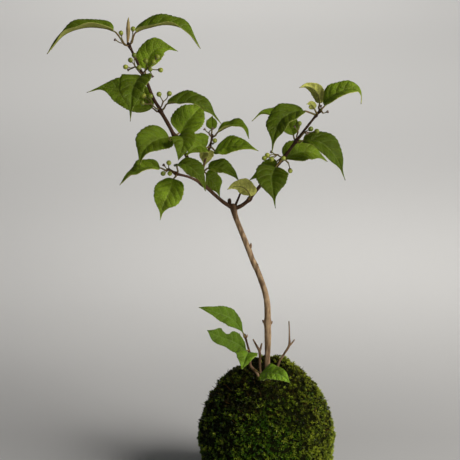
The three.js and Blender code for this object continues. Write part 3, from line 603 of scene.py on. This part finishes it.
def bark_material(name, old, young, fissure, between=None):
    """Bark from its old colour to its young one, over a third between them if there is one, with
    fissures along the limb, blotches of the young colour, pale pores and dark bud scars."""
    bark, tree = start_material(name, Roughness=0.75, Specular_IOR_Level=0.1)
    spot = add_node(tree, "TexCoord").outputs["Object"]
    drawn = add_node(tree, "Mapping", {"Vector": spot, "Scale": (1, 1, 0.16)}).outputs["Vector"]
    streak = cloud_noise(tree, 600.0, 5.0, drawn)
    pores = add_node(tree, "TexVoronoi", {"Vector": spot, "Scale": 420.0}).outputs["Distance"]
    age = read_layer(tree, "young")
    if between:
        shade = blend(tree, ramp(tree, age, 0.1, 0.5), old, between)
        shade = blend(tree, ramp(tree, age, 0.55, 0.9), shade, young)
        fissure = blend(tree, age, fissure, young)
    else:
        shade = blend(tree, age, old, young)
    shade = blend(tree, ramp(tree, streak, 0.46, 0.6, end=0.7), shade, fissure)
    shade = blend(tree, ramp(tree, cloud_noise(tree, 260.0, 3.0), 0.35, 0.7, end=0.45), shade, young)
    shade = blend(tree, ramp(tree, pores, 0.16, 0.24, 0.3, 0.0), shade, PORE_COLOUR)
    rings = ramp(tree, read_layer(tree, "scar"), 0, 1, end=0.75)
    set_colour(tree, blend(tree, rings, shade, SCAR_COLOUR))
    set_relief(tree, streak, 0.6, 0.0003)
    return bark


bark = bark_material("bark", (0.52, 0.355, 0.2, 1), (0.05, 0.026, 0.015, 1), (0.11, 0.055, 0.024, 1),
                     between=(0.13, 0.068, 0.037, 1))
stem = start_wood()
grow_limb(stem, trunk, 28, step=0.45, rough_bark=0.07, young=(0.05, 0.5), late=14, scars=0.25)
grow_limb(stem, leader, 18, young=(0.45, 0.9), late=0.6, scars=0.7)
grow_limb(stem, right_branch, 18, young=(0.55, 1), late=0.5, scars=0.7)
for limb, age in ((side_branch, (0.55, 0.85)), (inner_twig, (0.35, 0.65)),
                  (thin_twig, (0.85, 1)), (knob, (0.8, 0.8))):
    grow_limb(stem, limb, 14, young=age, scars=0.7)
for foot, point in buds[:4]:
    grow_bud(stem, foot, point)
finish_wood("stem_wood", stem, [bark], "bark", "stem")


# Low shoot. A young side shoot from the same roots, on the plant's left, tan at its foot and reddish brown
# above. It leans out of the hollow beside the trunk and carries the four lowest leaves.
SLENDER = 0.86    # it looks thinner than its solid
shoot = start_wood()
grow_limb(shoot, [(x, y, z, SLENDER * wide) for x, y, z, wide in low_shoot], 16,
          young=(-0.35, 0.95), scars=0.5)
grow_bud(shoot, *buds[4], wide=0.6, age=0.1)
finish_wood("shoot_wood", shoot, [bark], "bark", "shoot_low")


# Dry twigs. The weathered ends of two dead shoots, forked and leafless, with rough dull bark. They stand
# in the ball on each side of the trunk. The left one is the darker.
dry_bark = bark_material("dry_bark", (0.34, 0.215, 0.11, 1), (0.06, 0.033, 0.017, 1), (0.04, 0.022, 0.012, 1))
for name, twig, fork, dark, node in (
        ("dry_twig_left", dead_left, dead_left_fork, 0.85, "twig_dead_left"),
        ("dry_twig_right", dead_right, dead_right_fork, 0.4, "twig_dead_right")):
    dry = start_wood()
    grow_limb(dry, twig, 14, rough_bark=0.12, young=(dark, dark - 0.5))
    grow_limb(dry, fork, 12, rough_bark=0.12, young=(dark - 0.2, dark - 0.5))
    finish_wood(name, dry, [dry_bark], "dry_wood", node)


# Growing tip. The newest pair of leaves at the leader's end is still folded together, pale brown and downy.
# It is modelled as two slim pointed limbs side by side.
tip_skin = bark_material("folded_leaves", (0.5, 0.33, 0.15, 1), (0.4, 0.34, 0.13, 1), (0.3, 0.15, 0.07, 1))
outer_leaf = [(-82.9, 5, 284.6, 0.6), (-82.9, 4.8, 288, 0.7), (-82.7, 4.3, 291.5, 1),
              (-82.5, 3.8, 295, 0.85), (-82.2, 3.2, 298, 0.6), (-81.9, 3, 299.8, 0.2)]
inner_leaf = [(-82.8, 5, 285.4, 0.5), (-82.3, 5.4, 289, 0.7), (-82, 4.7, 292.4, 0.75),
              (-81.9, 4, 295.4, 0.5), (-81.6, 3.5, 297.2, 0.2)]
tip = start_wood()
for folded, age in ((outer_leaf, (0.2, 0.9)), (inner_leaf, (0.9, 0.2))):
    grow_limb(tip, folded, 14, step=0.3, rough_bark=0.16, young=age)
finish_wood("growing_tip", tip, [tip_skin], "young_leaf", "bud_tip")


# Leaves. Opposite pairs on short stalks. Each blade is folded along its midrib, saw-toothed, puckered
# between its side veins and drawn out to a long tip: green above, paler and duller below.

# on: the limb and the number of its point that the stalk leaves. tone: how light the leaf is, 0 to 1,
# partly its own colour and partly painted light and shade for how it faces the lamps.
# rib: the midrib from the blade's foot to its tip. wide: its greatest width. face: the way the upper side
# looks. fold: how far the halves rise from flat, in degrees. tail: how drawn out the tip is. wedge: the
# share of the length over which a tapered base widens. bite: the edge, place, reach and depth of a notch.
leaves = {
    "top_left": dict(on=(leader, 22), tone=0.45, wide=15, fold=38, face=(0, -0.1, 1),
        rib=[(-91, 4, 292), (-101, 3, 294.5), (-110, 2, 294), (-120, 1, 290), (-130, 0, 279)]),
    "top_right": dict(on=(leader, 22), tone=0.45, wide=16, fold=38, face=(0, -0.25, 1),
        rib=[(-78, 5, 291), (-69, 4, 294.5), (-59, 3, 296), (-49, 2, 293), (-40, 1, 282)]),
    "node1_back": dict(on=(leader, 18), tone=0.95, wide=17, fold=15, tail=0.6, face=(-0.3, -1, 0.5),
        rib=[(-73, 8, 269), (-71, 13, 275), (-66, 18, 280), (-60, 20, 280), (-54, 19, 278)]),
    "node1_front": dict(on=(leader, 18), tone=0.27, wide=18, fold=22, tail=0.75, face=(-0.1, -0.6, 1),
        rib=[(-75, 0, 266), (-77, -11, 265), (-79, -19, 260.5), (-79.5, -24, 253), (-80, -27, 244)]),
    "node2_left": dict(on=(leader, 14), tone=0.55, wide=19, fold=18, tail=0.8, face=(-0.1, -1, 0.5),
        rib=[(-69, 6, 246), (-77, 9, 250.5), (-87, 11, 255), (-98, 10, 257.5), (-108, 8, 255)]),
    "node2_right": dict(on=(leader, 14), tone=0.25, wide=17, fold=32, tail=0.6, face=(0, -0.3, 1),
        rib=[(-60, 4, 249), (-52, 3, 250), (-44, 1, 250), (-36, 0, 246), (-28, -1, 238)]),
    "node3_back": dict(on=(leader, 10), tone=0.8, wide=20, fold=16, face=(-0.2, -1, 0.4),
        rib=[(-53.2, 5, 231), (-49.5, 10, 235.6), (-44.5, 15, 241), (-39.5, 19, 245), (-35, 21, 246.5)]),
    "node3_left": dict(on=(leader, 10), tone=0.43, wide=21, fold=18, tail=0.6, face=(-0.4, -1, 0.6),
        rib=[(-59, 0, 229.5), (-64, -5, 229.5), (-70, -10, 227.5), (-74, -14, 223), (-76, -16, 215.5)]),
    "node3_front": dict(on=(leader, 10), tone=0.39, wide=16, fold=14, tail=0.2, face=(0.1, -1, 0.6),
        rib=[(-53.4, -5, 231.2), (-51.3, -11, 231.8), (-50.2, -17, 229.7), (-51.3, -20.5, 225.4),
             (-53, -21.5, 220)]),
    "side_left": dict(on=(side_branch, 6), tone=0.75, wide=15, fold=26, tail=0.5, face=(0, -0.3, 1),
        rib=[(-64, -14, 214), (-70, -15, 214.5), (-76, -15, 213), (-82, -14, 209.5), (-88, -13, 203.5)]),
    "side_down": dict(on=(side_branch, 4), tone=1, wide=18, fold=14, tail=0.7, face=(-0.2, -1, 0.35),
        rib=[(-56, -12, 207), (-57, -14.5, 204), (-59, -17.5, 199), (-62, -19.5, 193), (-64, -20.5, 184)]),
    "side_right": dict(on=(side_branch, 4), tone=0.16, wide=14, fold=22, face=(0.3, -0.6, 1),
        rib=[(-53.8, -13.8, 215.6), (-49.6, -18, 217), (-45, -21, 215), (-40, -23, 210), (-37, -23, 202)]),
    "inner1_right": dict(on=(inner_twig, 2), tone=0.27, wide=13, fold=24, face=(0, -0.5, 1),
        rib=[(-36, 4, 210), (-32, 2, 211), (-26, 0, 210), (-21.2, -1, 207.4), (-17.3, -1, 203)]),
    "inner1_low": dict(on=(inner_twig, 2), tone=0.61, wide=13, fold=14, face=(0.5, -1, 0.6),
        rib=[(-37.4, 7, 206), (-35, 10, 202), (-32, 12, 198), (-29, 13, 190)]),
    "inner2_right": dict(on=(inner_twig, 6), tone=1, wide=15, fold=18, face=(0.1, -0.7, 1),
        rib=[(-32, 9, 219.6), (-27, 6, 221.6), (-21, 3, 223.6), (-14, 1, 223.8), (-6, -1, 221.6)]),
    "inner2_left": dict(on=(inner_twig, 6), tone=0.49, wide=16, fold=15, face=(-0.2, -1, 0.4),
        rib=[(-37, 7, 221.5), (-40, 1, 224), (-43, -5, 224.5), (-46, -9, 223), (-49, -11, 220.5)]),
    "inner2_back": dict(on=(inner_twig, 6), tone=1, wide=9, fold=12, face=(0.2, 0.6, 1),
        rib=[(-36, 14.5, 219), (-37, 18, 216), (-38, 22, 211), (-39, 25, 205.5)]),
    "inner3_right": dict(on=(inner_twig, 9), tone=0.7, wide=11, fold=28, face=(0, -0.3, 1),
        rib=[(-30, 12, 230.5), (-25, 9, 234), (-19, 6, 236), (-14, 4, 234), (-11.5, 3, 228)]),
    "inner3_up": dict(on=(inner_twig, 9), tone=0.55, wide=7, fold=16, face=(0, -1, 0.6),
        rib=[(-33.8, 15.4, 231), (-34, 18.5, 234), (-34, 22, 236.5), (-33.5, 25, 238)]),
    "fork_under": dict(on=(right_branch, 3), tone=1, wide=12, fold=10, tail=0.3, face=(0.2, 1, 0.45),
        rib=[(-10.8, -5.6, 194.8), (-12, -6.4, 198), (-14.8, -6.6, 200.6), (-18.2, -6.4, 201.4),
             (-21.4, -6.2, 200.8), (-24.4, -6, 199.2)]),
    "right1_front": dict(on=(right_branch, 8), tone=0.15, wide=20, fold=24, tail=0.8, face=(0.05, -0.6, 1),
        rib=[(4, -10, 213.5), (1.5, -18, 210), (1.5, -26, 205.5), (2.4, -30, 200.5), (3.4, -32, 194)]),
    "right1_left": dict(on=(right_branch, 8), tone=0.65, wide=10, fold=14, face=(-0.3, -1, 0.6),
        rib=[(5, 1.4, 214.6), (0.4, 4, 210.2), (-5, 7, 205.8), (-11.4, 10, 201)]),
    "right1_right": dict(on=(right_branch, 8), tone=0.6, wide=18, fold=20, face=(0, -0.8, 1),
        rib=[(10.4, -1.6, 216.4), (15, 2.4, 218.4), (22, 6, 219.6), (29, 8, 217.6), (36, 10, 212.6)]),
    "right2_right": dict(on=(right_branch, 11), tone=0.15, wide=16, fold=24, tail=0.8, face=(0, -0.6, 1),
        rib=[(20, -8, 229), (27.5, -11, 229.4), (34.5, -13, 225.5), (40, -14, 218.5), (45, -14, 206.5)]),
    "right2_left": dict(on=(right_branch, 11), tone=0.65, wide=14, fold=20, tail=0.8, face=(0, -0.6, 1),
        rib=[(14.6, -2, 231), (12.5, 3, 235), (8, 7, 239), (2, 8, 242), (-4, 6, 243), (-10, 4, 238.5)]),
    "right3_left": dict(on=(right_branch, 15), tone=0.26, wide=18, fold=22, tail=0.75, face=(-0.3, -0.6, 1),
        rib=[(20, -10, 247), (12.5, -15, 246.5), (6, -19.5, 242.5), (3, -23.5, 235.5), (1, -26, 225)]),
    "right3_small": dict(on=(right_branch, 16), tone=0.5, wide=5, fold=18, face=(0.1, 1, -0.4),
        rib=[(26.4, -9.4, 248), (24, -11.6, 251.4), (21.4, -13.4, 251.6)]),
    "right4_left": dict(on=(right_branch, 17), tone=0.82, wide=8.5, fold=24, tail=0.3, face=(0.2, 1, 0.4),
        rib=[(29.6, -4.6, 250.6), (29, -2, 254.8), (26.4, 0, 258.4), (22, -2, 260.4), (17.5, -5, 260)]),
    "right4_right": dict(on=(right_branch, 17), tone=0.75, wide=15, fold=26, tail=0.95, face=(-0.3, -0.6, 1),
        rib=[(32.4, -7, 249.4), (35, -9, 254), (40, -10.4, 257.8), (46.4, -10, 260), (51, -9, 259.6),
             (53.4, -8, 256.6), (53.6, -7, 250.5)]),
    "low_top": dict(on=(low_shoot, 9), tone=0.5, wide=13, wedge=0.4, fold=12, tail=0, face=(-0.2, -0.8, 1),
        rib=[(-14.8, -15.4, 112), (-16.7, -16, 115.5), (-19.3, -16.8, 119.2), (-23.5, -18, 123),
             (-28.9, -19.4, 125.8), (-35.4, -20.6, 128.5), (-41.5, -21.4, 130.6)]),
    "low_middle": dict(on=(low_shoot, 7), tone=0.35, wide=12.5, wedge=0.32, fold=12, tail=-1,
        face=(-0.2, -1, 0.7), bite=(1, 0.6, 0.11, 0.45),
        rib=[(-12.7, -18, 101.9), (-16.5, -21.4, 106.2), (-21.1, -25.2, 110.2), (-26.5, -29.2, 113.9),
             (-31.2, -32, 116.5), (-36.2, -34, 120.3)]),
    "low_front": dict(on=(low_shoot, 6), tone=1, wide=13, fold=14, tail=0, face=(-0.1, -0.8, 1),
        rib=[(-11.6, -23.2, 102.4), (-12.9, -29.2, 102.9), (-13.8, -34.2, 102.6), (-14.9, -37.8, 100.9),
             (-15.9, -39.6, 97.9)]),
    "low_right": dict(on=(low_shoot, 3), tone=1, wide=11.5, wedge=0.2, fold=12, tail=-0.3, face=(0, -1, 0.9),
        rib=[(-4.7, -20, 88.2), (-1.8, -24.5, 90), (2.2, -30, 92.1), (7.4, -34, 92.2), (12.9, -36, 88)]),
}
LEAF_THICK = 0.36
FOLD_KEPT = 0.75       # share of its fold that a blade has at its foot; it has less at its tip
VEIN_PAIRS = 6.5
VEIN_RELIEF = 0.3
RIB_GROOVE = 0.22
SWELL = 0.6            # of the long waves along a blade
WOBBLE = 0.8           # of its irregular edge
TOOTH_LENGTH = 2.3
TOOTH_DEPTH = 0.05     # as a share of the half width
TOOTH_ROWS = 5
ACROSS = 18
LEAF_LAYERS = ("share", "across", "vein", "tone", "cool")


def blade_outline(share, tail, wedge):
    """How wide a blade is along its length: 1 at its widest, before a tail or a wedge narrows it."""
    full = 2.915 * share ** 0.55 * (1 - share) ** 1.15
    base = np.minimum(share / wedge, 1) if wedge else 1
    return full * base * (1 - tail * smooth_step(share, 0.55, 0.88))


def stalk_start(on, towards):
    """Where a stalk leaves its limb: a point inside the wood, and one just off the bark."""
    limb, ring = on
    here = np.array(limb[ring][:3])
    along = unit(np.array(limb[min(ring + 1, len(limb) - 1)][:3]) - np.array(limb[max(ring - 1, 0)][:3]))
    away = unit(np.array(towards) - here)
    sideways = unit(away - along * away.dot(along))
    radius = limb[ring][3]
    return here + sideways * radius * 0.5, here + sideways * (radius + 0.35 + 0.5 * abs(away.dot(along)))


def grow_leaf(entry, rng):
    """One leaf: its blade as a closed thin sheet, and its stalk and midrib as one tapering cord below it."""
    rib, fold, tail = entry["rib"], entry["fold"], entry.get("tail", 0.45)
    inside, start = stalk_start(entry["on"], rib[0])
    curve = through([start, *rib], 40)
    whole, blade_length = length_of(curve), length_of(through(rib, 40))
    foot = max(whole - blade_length, 0.5) / whole
    teeth = max(round(blade_length / TOOTH_LENGTH), 4)
    rows = teeth * TOOTH_ROWS
    shares = np.arange(rows + 1) / rows
    line = evenly(curve, foot + (1 - foot) * shares)
    along = directions(line)
    side = unit(np.cross(along, unit(np.array(entry["face"], float))))
    top = np.cross(side, along)
    saw = (np.arange(rows + 1) % TOOTH_ROWS) / (TOOTH_ROWS - 1) - 0.6
    depth = TOOTH_DEPTH * smooth_step(shares, 0.06, 0.2) * (1 - 0.6 * smooth_step(shares, 0.6, 0.85))
    half = entry["wide"] / 2 * blade_outline(shares, tail, entry.get("wedge", 0)) * (1 + depth * saw)
    half = np.maximum(half, 0.3 - 0.18 * shares)

    form = start_wood()
    layers = [form.verts.layers.float.new(name) for name in LEAF_LAYERS]
    verts = bmesh.ops.create_grid(form, x_segments=ACROSS, y_segments=rows, size=1)["verts"]
    u = np.array([vert.co.x for vert in verts])
    row = np.array([round((vert.co.y + 1) / 2 * rows) for vert in verts])
    u = np.sign(u) * np.abs(u) ** 1.15
    share, out = shares[row], np.abs(u)
    way, at, spread, notch = entry.get("bite", (1, 0, 1, 0))
    bitten = notch * np.maximum(1 - ((share - at) / spread) ** 2, 0) * (u * way > 0)
    reach = half[row] * (1 - bitten)
    tilt = radians(fold) * FOLD_KEPT * (1 - 0.3 * share)
    vein = VEIN_PAIRS * (share - 0.8 * reach / blade_length * out ** 1.3) + 0.25 * (u > 0) + 8
    pucker = np.sin(pi * out) ** 0.7 * smooth_step(share, 0.02, 0.12) * (1 - share) ** 0.5
    pucker *= np.minimum(reach / 5, 1)
    swell = SWELL * np.sin(5 * pi * share + fold) * np.minimum(reach / 4, 1)
    wobble = WOBBLE * rough(np.stack([share * 9, u * 1.5, share * 0 + rng.uniform(0, 90)], axis=1), 1.7)
    height = out * reach * np.sin(tilt) + u * swell + 0.07 * reach * np.sin(pi * out)
    height -= VEIN_RELIEF * np.cos(2 * pi * vein) * pucker
    height += wobble * out * np.minimum(reach / 5, 1)
    height -= RIB_GROOVE * np.exp(-(u * reach / 0.45) ** 2)
    places = line[row] + side[row] * (u * reach * np.cos(tilt))[:, None]
    places += top[row] * (height + LEAF_THICK / 2)[:, None]
    places += along[row] * (0.35 * reach * (out ** 2) * depth[row] * (saw[row] + 0.6))[:, None]
    cool = float(entry["on"][0] is low_shoot)
    for vert, place, *values in zip(verts, places, share, out, vein):
        vert.co = Vector(place) * MM
        for layer, value in zip(layers, (*values, entry["tone"], cool)):
            vert[layer] = value
    upper = set(form.faces)
    form.normal_update()
    bmesh.ops.solidify(form, geom=form.faces[:], thickness=LEAF_THICK * MM)
    for face in form.faces:
        face.material_index = 0 if face in upper else 1

    stalk = np.vstack([inside, evenly(curve, foot * np.array([0.1, 0.5, 0.9]))])
    sunk = line[2:-3] - top[2:-3] * 0.5
    cord = np.vstack([stalk, sunk[::6]])
    thick = np.concatenate([[0.62, 0.58, 0.5, 0.46], np.linspace(0.36, 0.1, len(sunk[::6]))])
    grow_limb(form, np.column_stack([cord, thick]), 8, step=0.9, rough_bark=0, young=(0, 1), slot=2)
    return form


DARK_VEIN = (0.14, 0.19, 0.03, 1)
COOL_TINT = (0.86, 1, 1.2, 1)
WITHERED = (0.06, 0.03, 0.015, 1)


def leaf_material(name, deep, light, veins, dull, roughness, vein_height, soft, relief):
    """Leaf skin: a green that varies with the leaf and the place, paler veins, a fine net between them and
    a withered tip. The change from leaf to leaf is partly painted light and shade. The low shoot's leaves are
    cooler. Veins are sunken where vein_height is below 0."""
    skin, tree = start_material(name, Roughness=roughness, Specular_IOR_Level=0.12, Subsurface_Weight=soft,
                                Subsurface_Radius=(0.6, 0.9, 0.08), Subsurface_Scale=0.001)
    share, across, vein, tone, cool = (read_layer(tree, label) for label in LEAF_LAYERS)
    # Painted light and shade: each leaf's tone lightens or darkens it partly for how it faces the lamps.
    shade = blend(tree, tone, deep, light)
    shade = blend(tree, ramp(tree, cloud_noise(tree, 170.0, 3.0), 0.42, 0.7, end=0.5), shade, dull)
    shade = blend(tree, ramp(tree, cloud_noise(tree, 1100.0, 3.0), 0.35, 0.65, end=0.4), shade, deep)
    nearest = add_node(tree, "Math", {0: vein, 1: 0.5}, operation="PINGPONG").outputs[0]
    lines = ramp(tree, nearest, 0.02, 0.12, 0.33, 0.0)
    veins = blend(tree, tone, DARK_VEIN, veins)
    middle, edge = ramp(tree, across, 0.02, 0.09, 0.5, 0.0), ramp(tree, across, 0.93, 1.0, end=0.12)
    for strength in (lines, middle, edge):
        shade = blend(tree, strength, shade, veins)
    shade = blend(tree, cool, shade, COOL_TINT, "MULTIPLY")
    set_colour(tree, blend(tree, ramp(tree, share, 0.97, 1.0, end=0.9), shade, WITHERED))
    spot = add_node(tree, "TexCoord").outputs["Object"]
    net = add_node(tree, "TexVoronoi", {"Vector": spot, "Scale": 800.0}, feature="DISTANCE_TO_EDGE")
    cells = ramp(tree, net.outputs["Distance"], 0.0, 0.25)
    raised = add_node(tree, "Math", {0: lines, 1: vein_height, 2: cells}, operation="MULTIPLY_ADD")
    set_relief(tree, raised.outputs[0], relief, 0.0003)
    return skin


upper_skin = leaf_material("leaf_upper_side", (0.043, 0.07, 0.001, 1), (0.325, 0.478, 0.027, 1),
                           (0.34, 0.44, 0.07, 1), (0.062, 0.06, 0.003, 1),
                           roughness=0.42, vein_height=-3.0, soft=0.25, relief=0.7)
under_skin = leaf_material("leaf_underside", (0.17, 0.19, 0.035, 1), (0.84, 0.84, 0.2, 1),
                           (0.5, 0.48, 0.16, 1), (0.24, 0.24, 0.05, 1),
                           roughness=0.7, vein_height=3.0, soft=0.0, relief=0.2)
stalk_skin = bark_material("leaf_stalk", (0.24, 0.11, 0.04, 1), (0.22, 0.27, 0.08, 1), (0.13, 0.13, 0.04, 1))
leaf_rng = np.random.default_rng(5)
for name, entry in leaves.items():
    leaf = to_mesh("leaf_" + name, grow_leaf(entry, leaf_rng))
    finish_piece("blade_" + name, leaf, [upper_skin, under_skin, stalk_skin], "leaf", "leaf_" + name)


# Berry heads. Small forked stalks in the leaf axils carry unripe green berries, each with a tiny cup
# where it joins its stalk, and the purplish empty cups of flowers that set none.
heads = {
    "top_left": dict(on=(leader, 22), hub=(-84.8, 2, 284.8),
        berries=[(-86.4, 0, 291.2)], cups=[(-89.6, 0, 287)]),
    "top_right": dict(on=(leader, 22), hub=(-80.4, 1.4, 286.4), berries=[(-79.2, -0.4, 293.6)]),
    "node1_left": dict(on=(leader, 19), hub=(-78.4, 0.6, 271.4),
        berries=[(-81, -2, 275.6), (-84, -2, 271.6), (-76, -3.6, 271.4), (-79, 1.6, 278)],
        cups=[(-82.4, 1, 269.6)]),
    "node1_right": dict(on=(leader, 19), hub=(-71, 1.6, 270.4),
        berries=[(-72, -3.4, 275.4), (-67.6, -2, 274.6), (-65.4, 2.4, 277), (-63.4, -1, 269.6),
                 (-69.4, -5, 270.6)],
        cups=[(-68.4, -0.4, 266)]),
    "node2_left": dict(on=(leader, 15), hub=(-69.6, 0.4, 249.6),
        berries=[(-69.6, -3.4, 254.6), (-73.6, -0.6, 254.4), (-74.4, -2.6, 250.4)]),
    "node2_right": dict(on=(leader, 15), hub=(-62.4, 1.6, 250.4),
        berries=[(-64.6, -1.4, 255.4), (-58.6, 0, 255.6)]),
    "side": dict(on=(side_branch, 5), hub=(-58.4, -13.6, 213),
        berries=[(-58.6, -17, 217.6), (-62, -18, 211.4), (-58, -19.4, 211.8)], cups=[(-61.4, -16.6, 216)]),
    "inner2": dict(on=(inner_twig, 7), hub=(-33.2, 9.6, 223.4), berries=[(-32, 7.4, 226)]),
    "inner3": dict(on=(inner_twig, 9), hub=(-35.6, 11, 230), cups=[(-38, 11, 232), (-33.4, 9.6, 232.6)]),
    "right1": dict(on=(right_branch, 8), hub=(5.2, -8, 220.6),
        berries=[(-1, -10, 220.6), (-2.8, -11.6, 219.2), (1.4, -13, 218.8), (8.4, -12.4, 219.4)],
        cups=[(1.6, -9.4, 222.4)]),
    "right1_low": dict(on=(right_branch, 8), hub=(11.8, -5, 214.8), berries=[(12.8, -6.4, 210.4)]),
    "right2_left": dict(on=(right_branch, 12), hub=(17, -8.4, 234.4),
        berries=[(17.6, -10, 239.6)], cups=[(15, -9.4, 237.4)]),
    "right2_right": dict(on=(right_branch, 12), hub=(20.6, -8, 233.8),
        berries=[(24.4, -10, 236.4), (27.8, -12.4, 235.4)], cups=[(22, -12, 234.4)]),
    "right4": dict(on=(right_branch, 17), hub=(31.4, -9, 245.6),
        cups=[(30, -10.6, 249.6), (33.8, -9.6, 246.4)]),
}
BERRY_RADIUS = 1.5


def turn_cup(form, profile, foot, axis, sides, slot):
    """A small turned form: a profile of [radius, height] that starts and ends on its axis."""
    verts, turn, row = add_rolled_grid(form, sides, len(profile) - 1)
    right = unit(np.cross(axis, (0.31, 0.9, 0.2)))
    up = np.cross(axis, right)
    lobes = 1 + 0.12 * np.cos(5 * turn)
    spread = np.array(profile)[row, 0] * lobes
    places = (foot + right * (spread * np.cos(turn))[:, None] + up * (spread * np.sin(turn))[:, None]
              + axis * np.array(profile)[row, 1][:, None])
    for vert, place in zip(verts, places):
        vert.co = Vector(place) * MM
    close_roll(form, verts, slot)


FLOWER_CUP = [(0, 0), (0.4, 0.05), (0.62, 0.6), (0.9, 1.3), (0.82, 1.35), (0.45, 0.8), (0, 0.65)]
BERRY_CUP = [(0, -0.35), (0.5, -0.3), (1.05, 0.25), (1.0, 0.35), (0.5, 0.05), (0, 0)]
berry_skin, tree = start_material("green_berry", Roughness=0.3, Subsurface_Weight=0.25,
                                  Subsurface_Radius=(0.7, 1, 0.2), Subsurface_Scale=0.002)
shade = blend(tree, read_layer(tree, "ripe"), (0.14, 0.18, 0.014, 1), (0.46, 0.5, 0.06, 1))
mottle = ramp(tree, cloud_noise(tree, 700.0, 3.0), 0.4, 0.7, end=0.5)
set_colour(tree, blend(tree, mottle, shade, (0.12, 0.15, 0.012, 1)))
head_stalk = bark_material("berry_stalk", (0.16, 0.09, 0.04, 1), (0.2, 0.22, 0.06, 1), (0.1, 0.05, 0.03, 1))
cup_skin, tree = start_material("flower_cup", Roughness=0.7)
mottle = cloud_noise(tree, 1500.0, 3.0)
set_colour(tree, blend(tree, mottle, (0.1, 0.05, 0.045, 1), (0.26, 0.19, 0.12, 1)))

berry_rng = np.random.default_rng(3)
for name, head in heads.items():
    form = start_wood()
    ripeness = form.verts.layers.float.new("ripe")
    inside, start = stalk_start(head["on"], head["hub"])
    hub = np.array(head["hub"], float)
    grow_limb(form, [(*inside, 0.5), (*start, 0.42), (*hub, 0.5)], 10, step=0.35, rough_bark=0, slot=1)
    for kind in ("berries", "cups"):
        for place in np.array(head.get(kind, []), float).reshape(-1, 3):
            axis = unit(place - hub)
            bend = (hub + place) / 2 + berry_rng.uniform(-0.4, 0.4, 3) - (0, 0, 0.2)
            reach = BERRY_RADIUS if kind == "berries" else 0.5
            grow_limb(form, [(*hub, 0.36), (*bend, 0.28), (*(place - axis * reach), 0.34)], 8, step=0.35,
                      rough_bark=0, young=(0, 0.7), slot=1)
            if kind == "cups":
                turn_cup(form, FLOWER_CUP, place - axis * 0.6, axis, 10, 2)
                continue
            turn_cup(form, BERRY_CUP, place - axis * (BERRY_RADIUS - 0.1), axis, 10, 2)
            ball = bmesh.ops.create_icosphere(form, subdivisions=3, radius=BERRY_RADIUS * MM)["verts"]
            look = berry_rng.uniform(0, 1)
            wide = berry_rng.uniform(0.92, 1.04)
            for vert in ball:
                out = vert.co.normalized()
                dimple = 0.12 * max(out.dot(Vector(axis)) - 0.9, 0) * 10
                vert.co = vert.co * (wide - dimple) + Vector(place) * MM
                vert[ripeness] = look
    bmesh.ops.recalc_face_normals(form, faces=form.faces)
    finish_piece("head_" + name, to_mesh("berries_" + name, form), [berry_skin, head_stalk, cup_skin],
                 "berry", "berries_" + name)
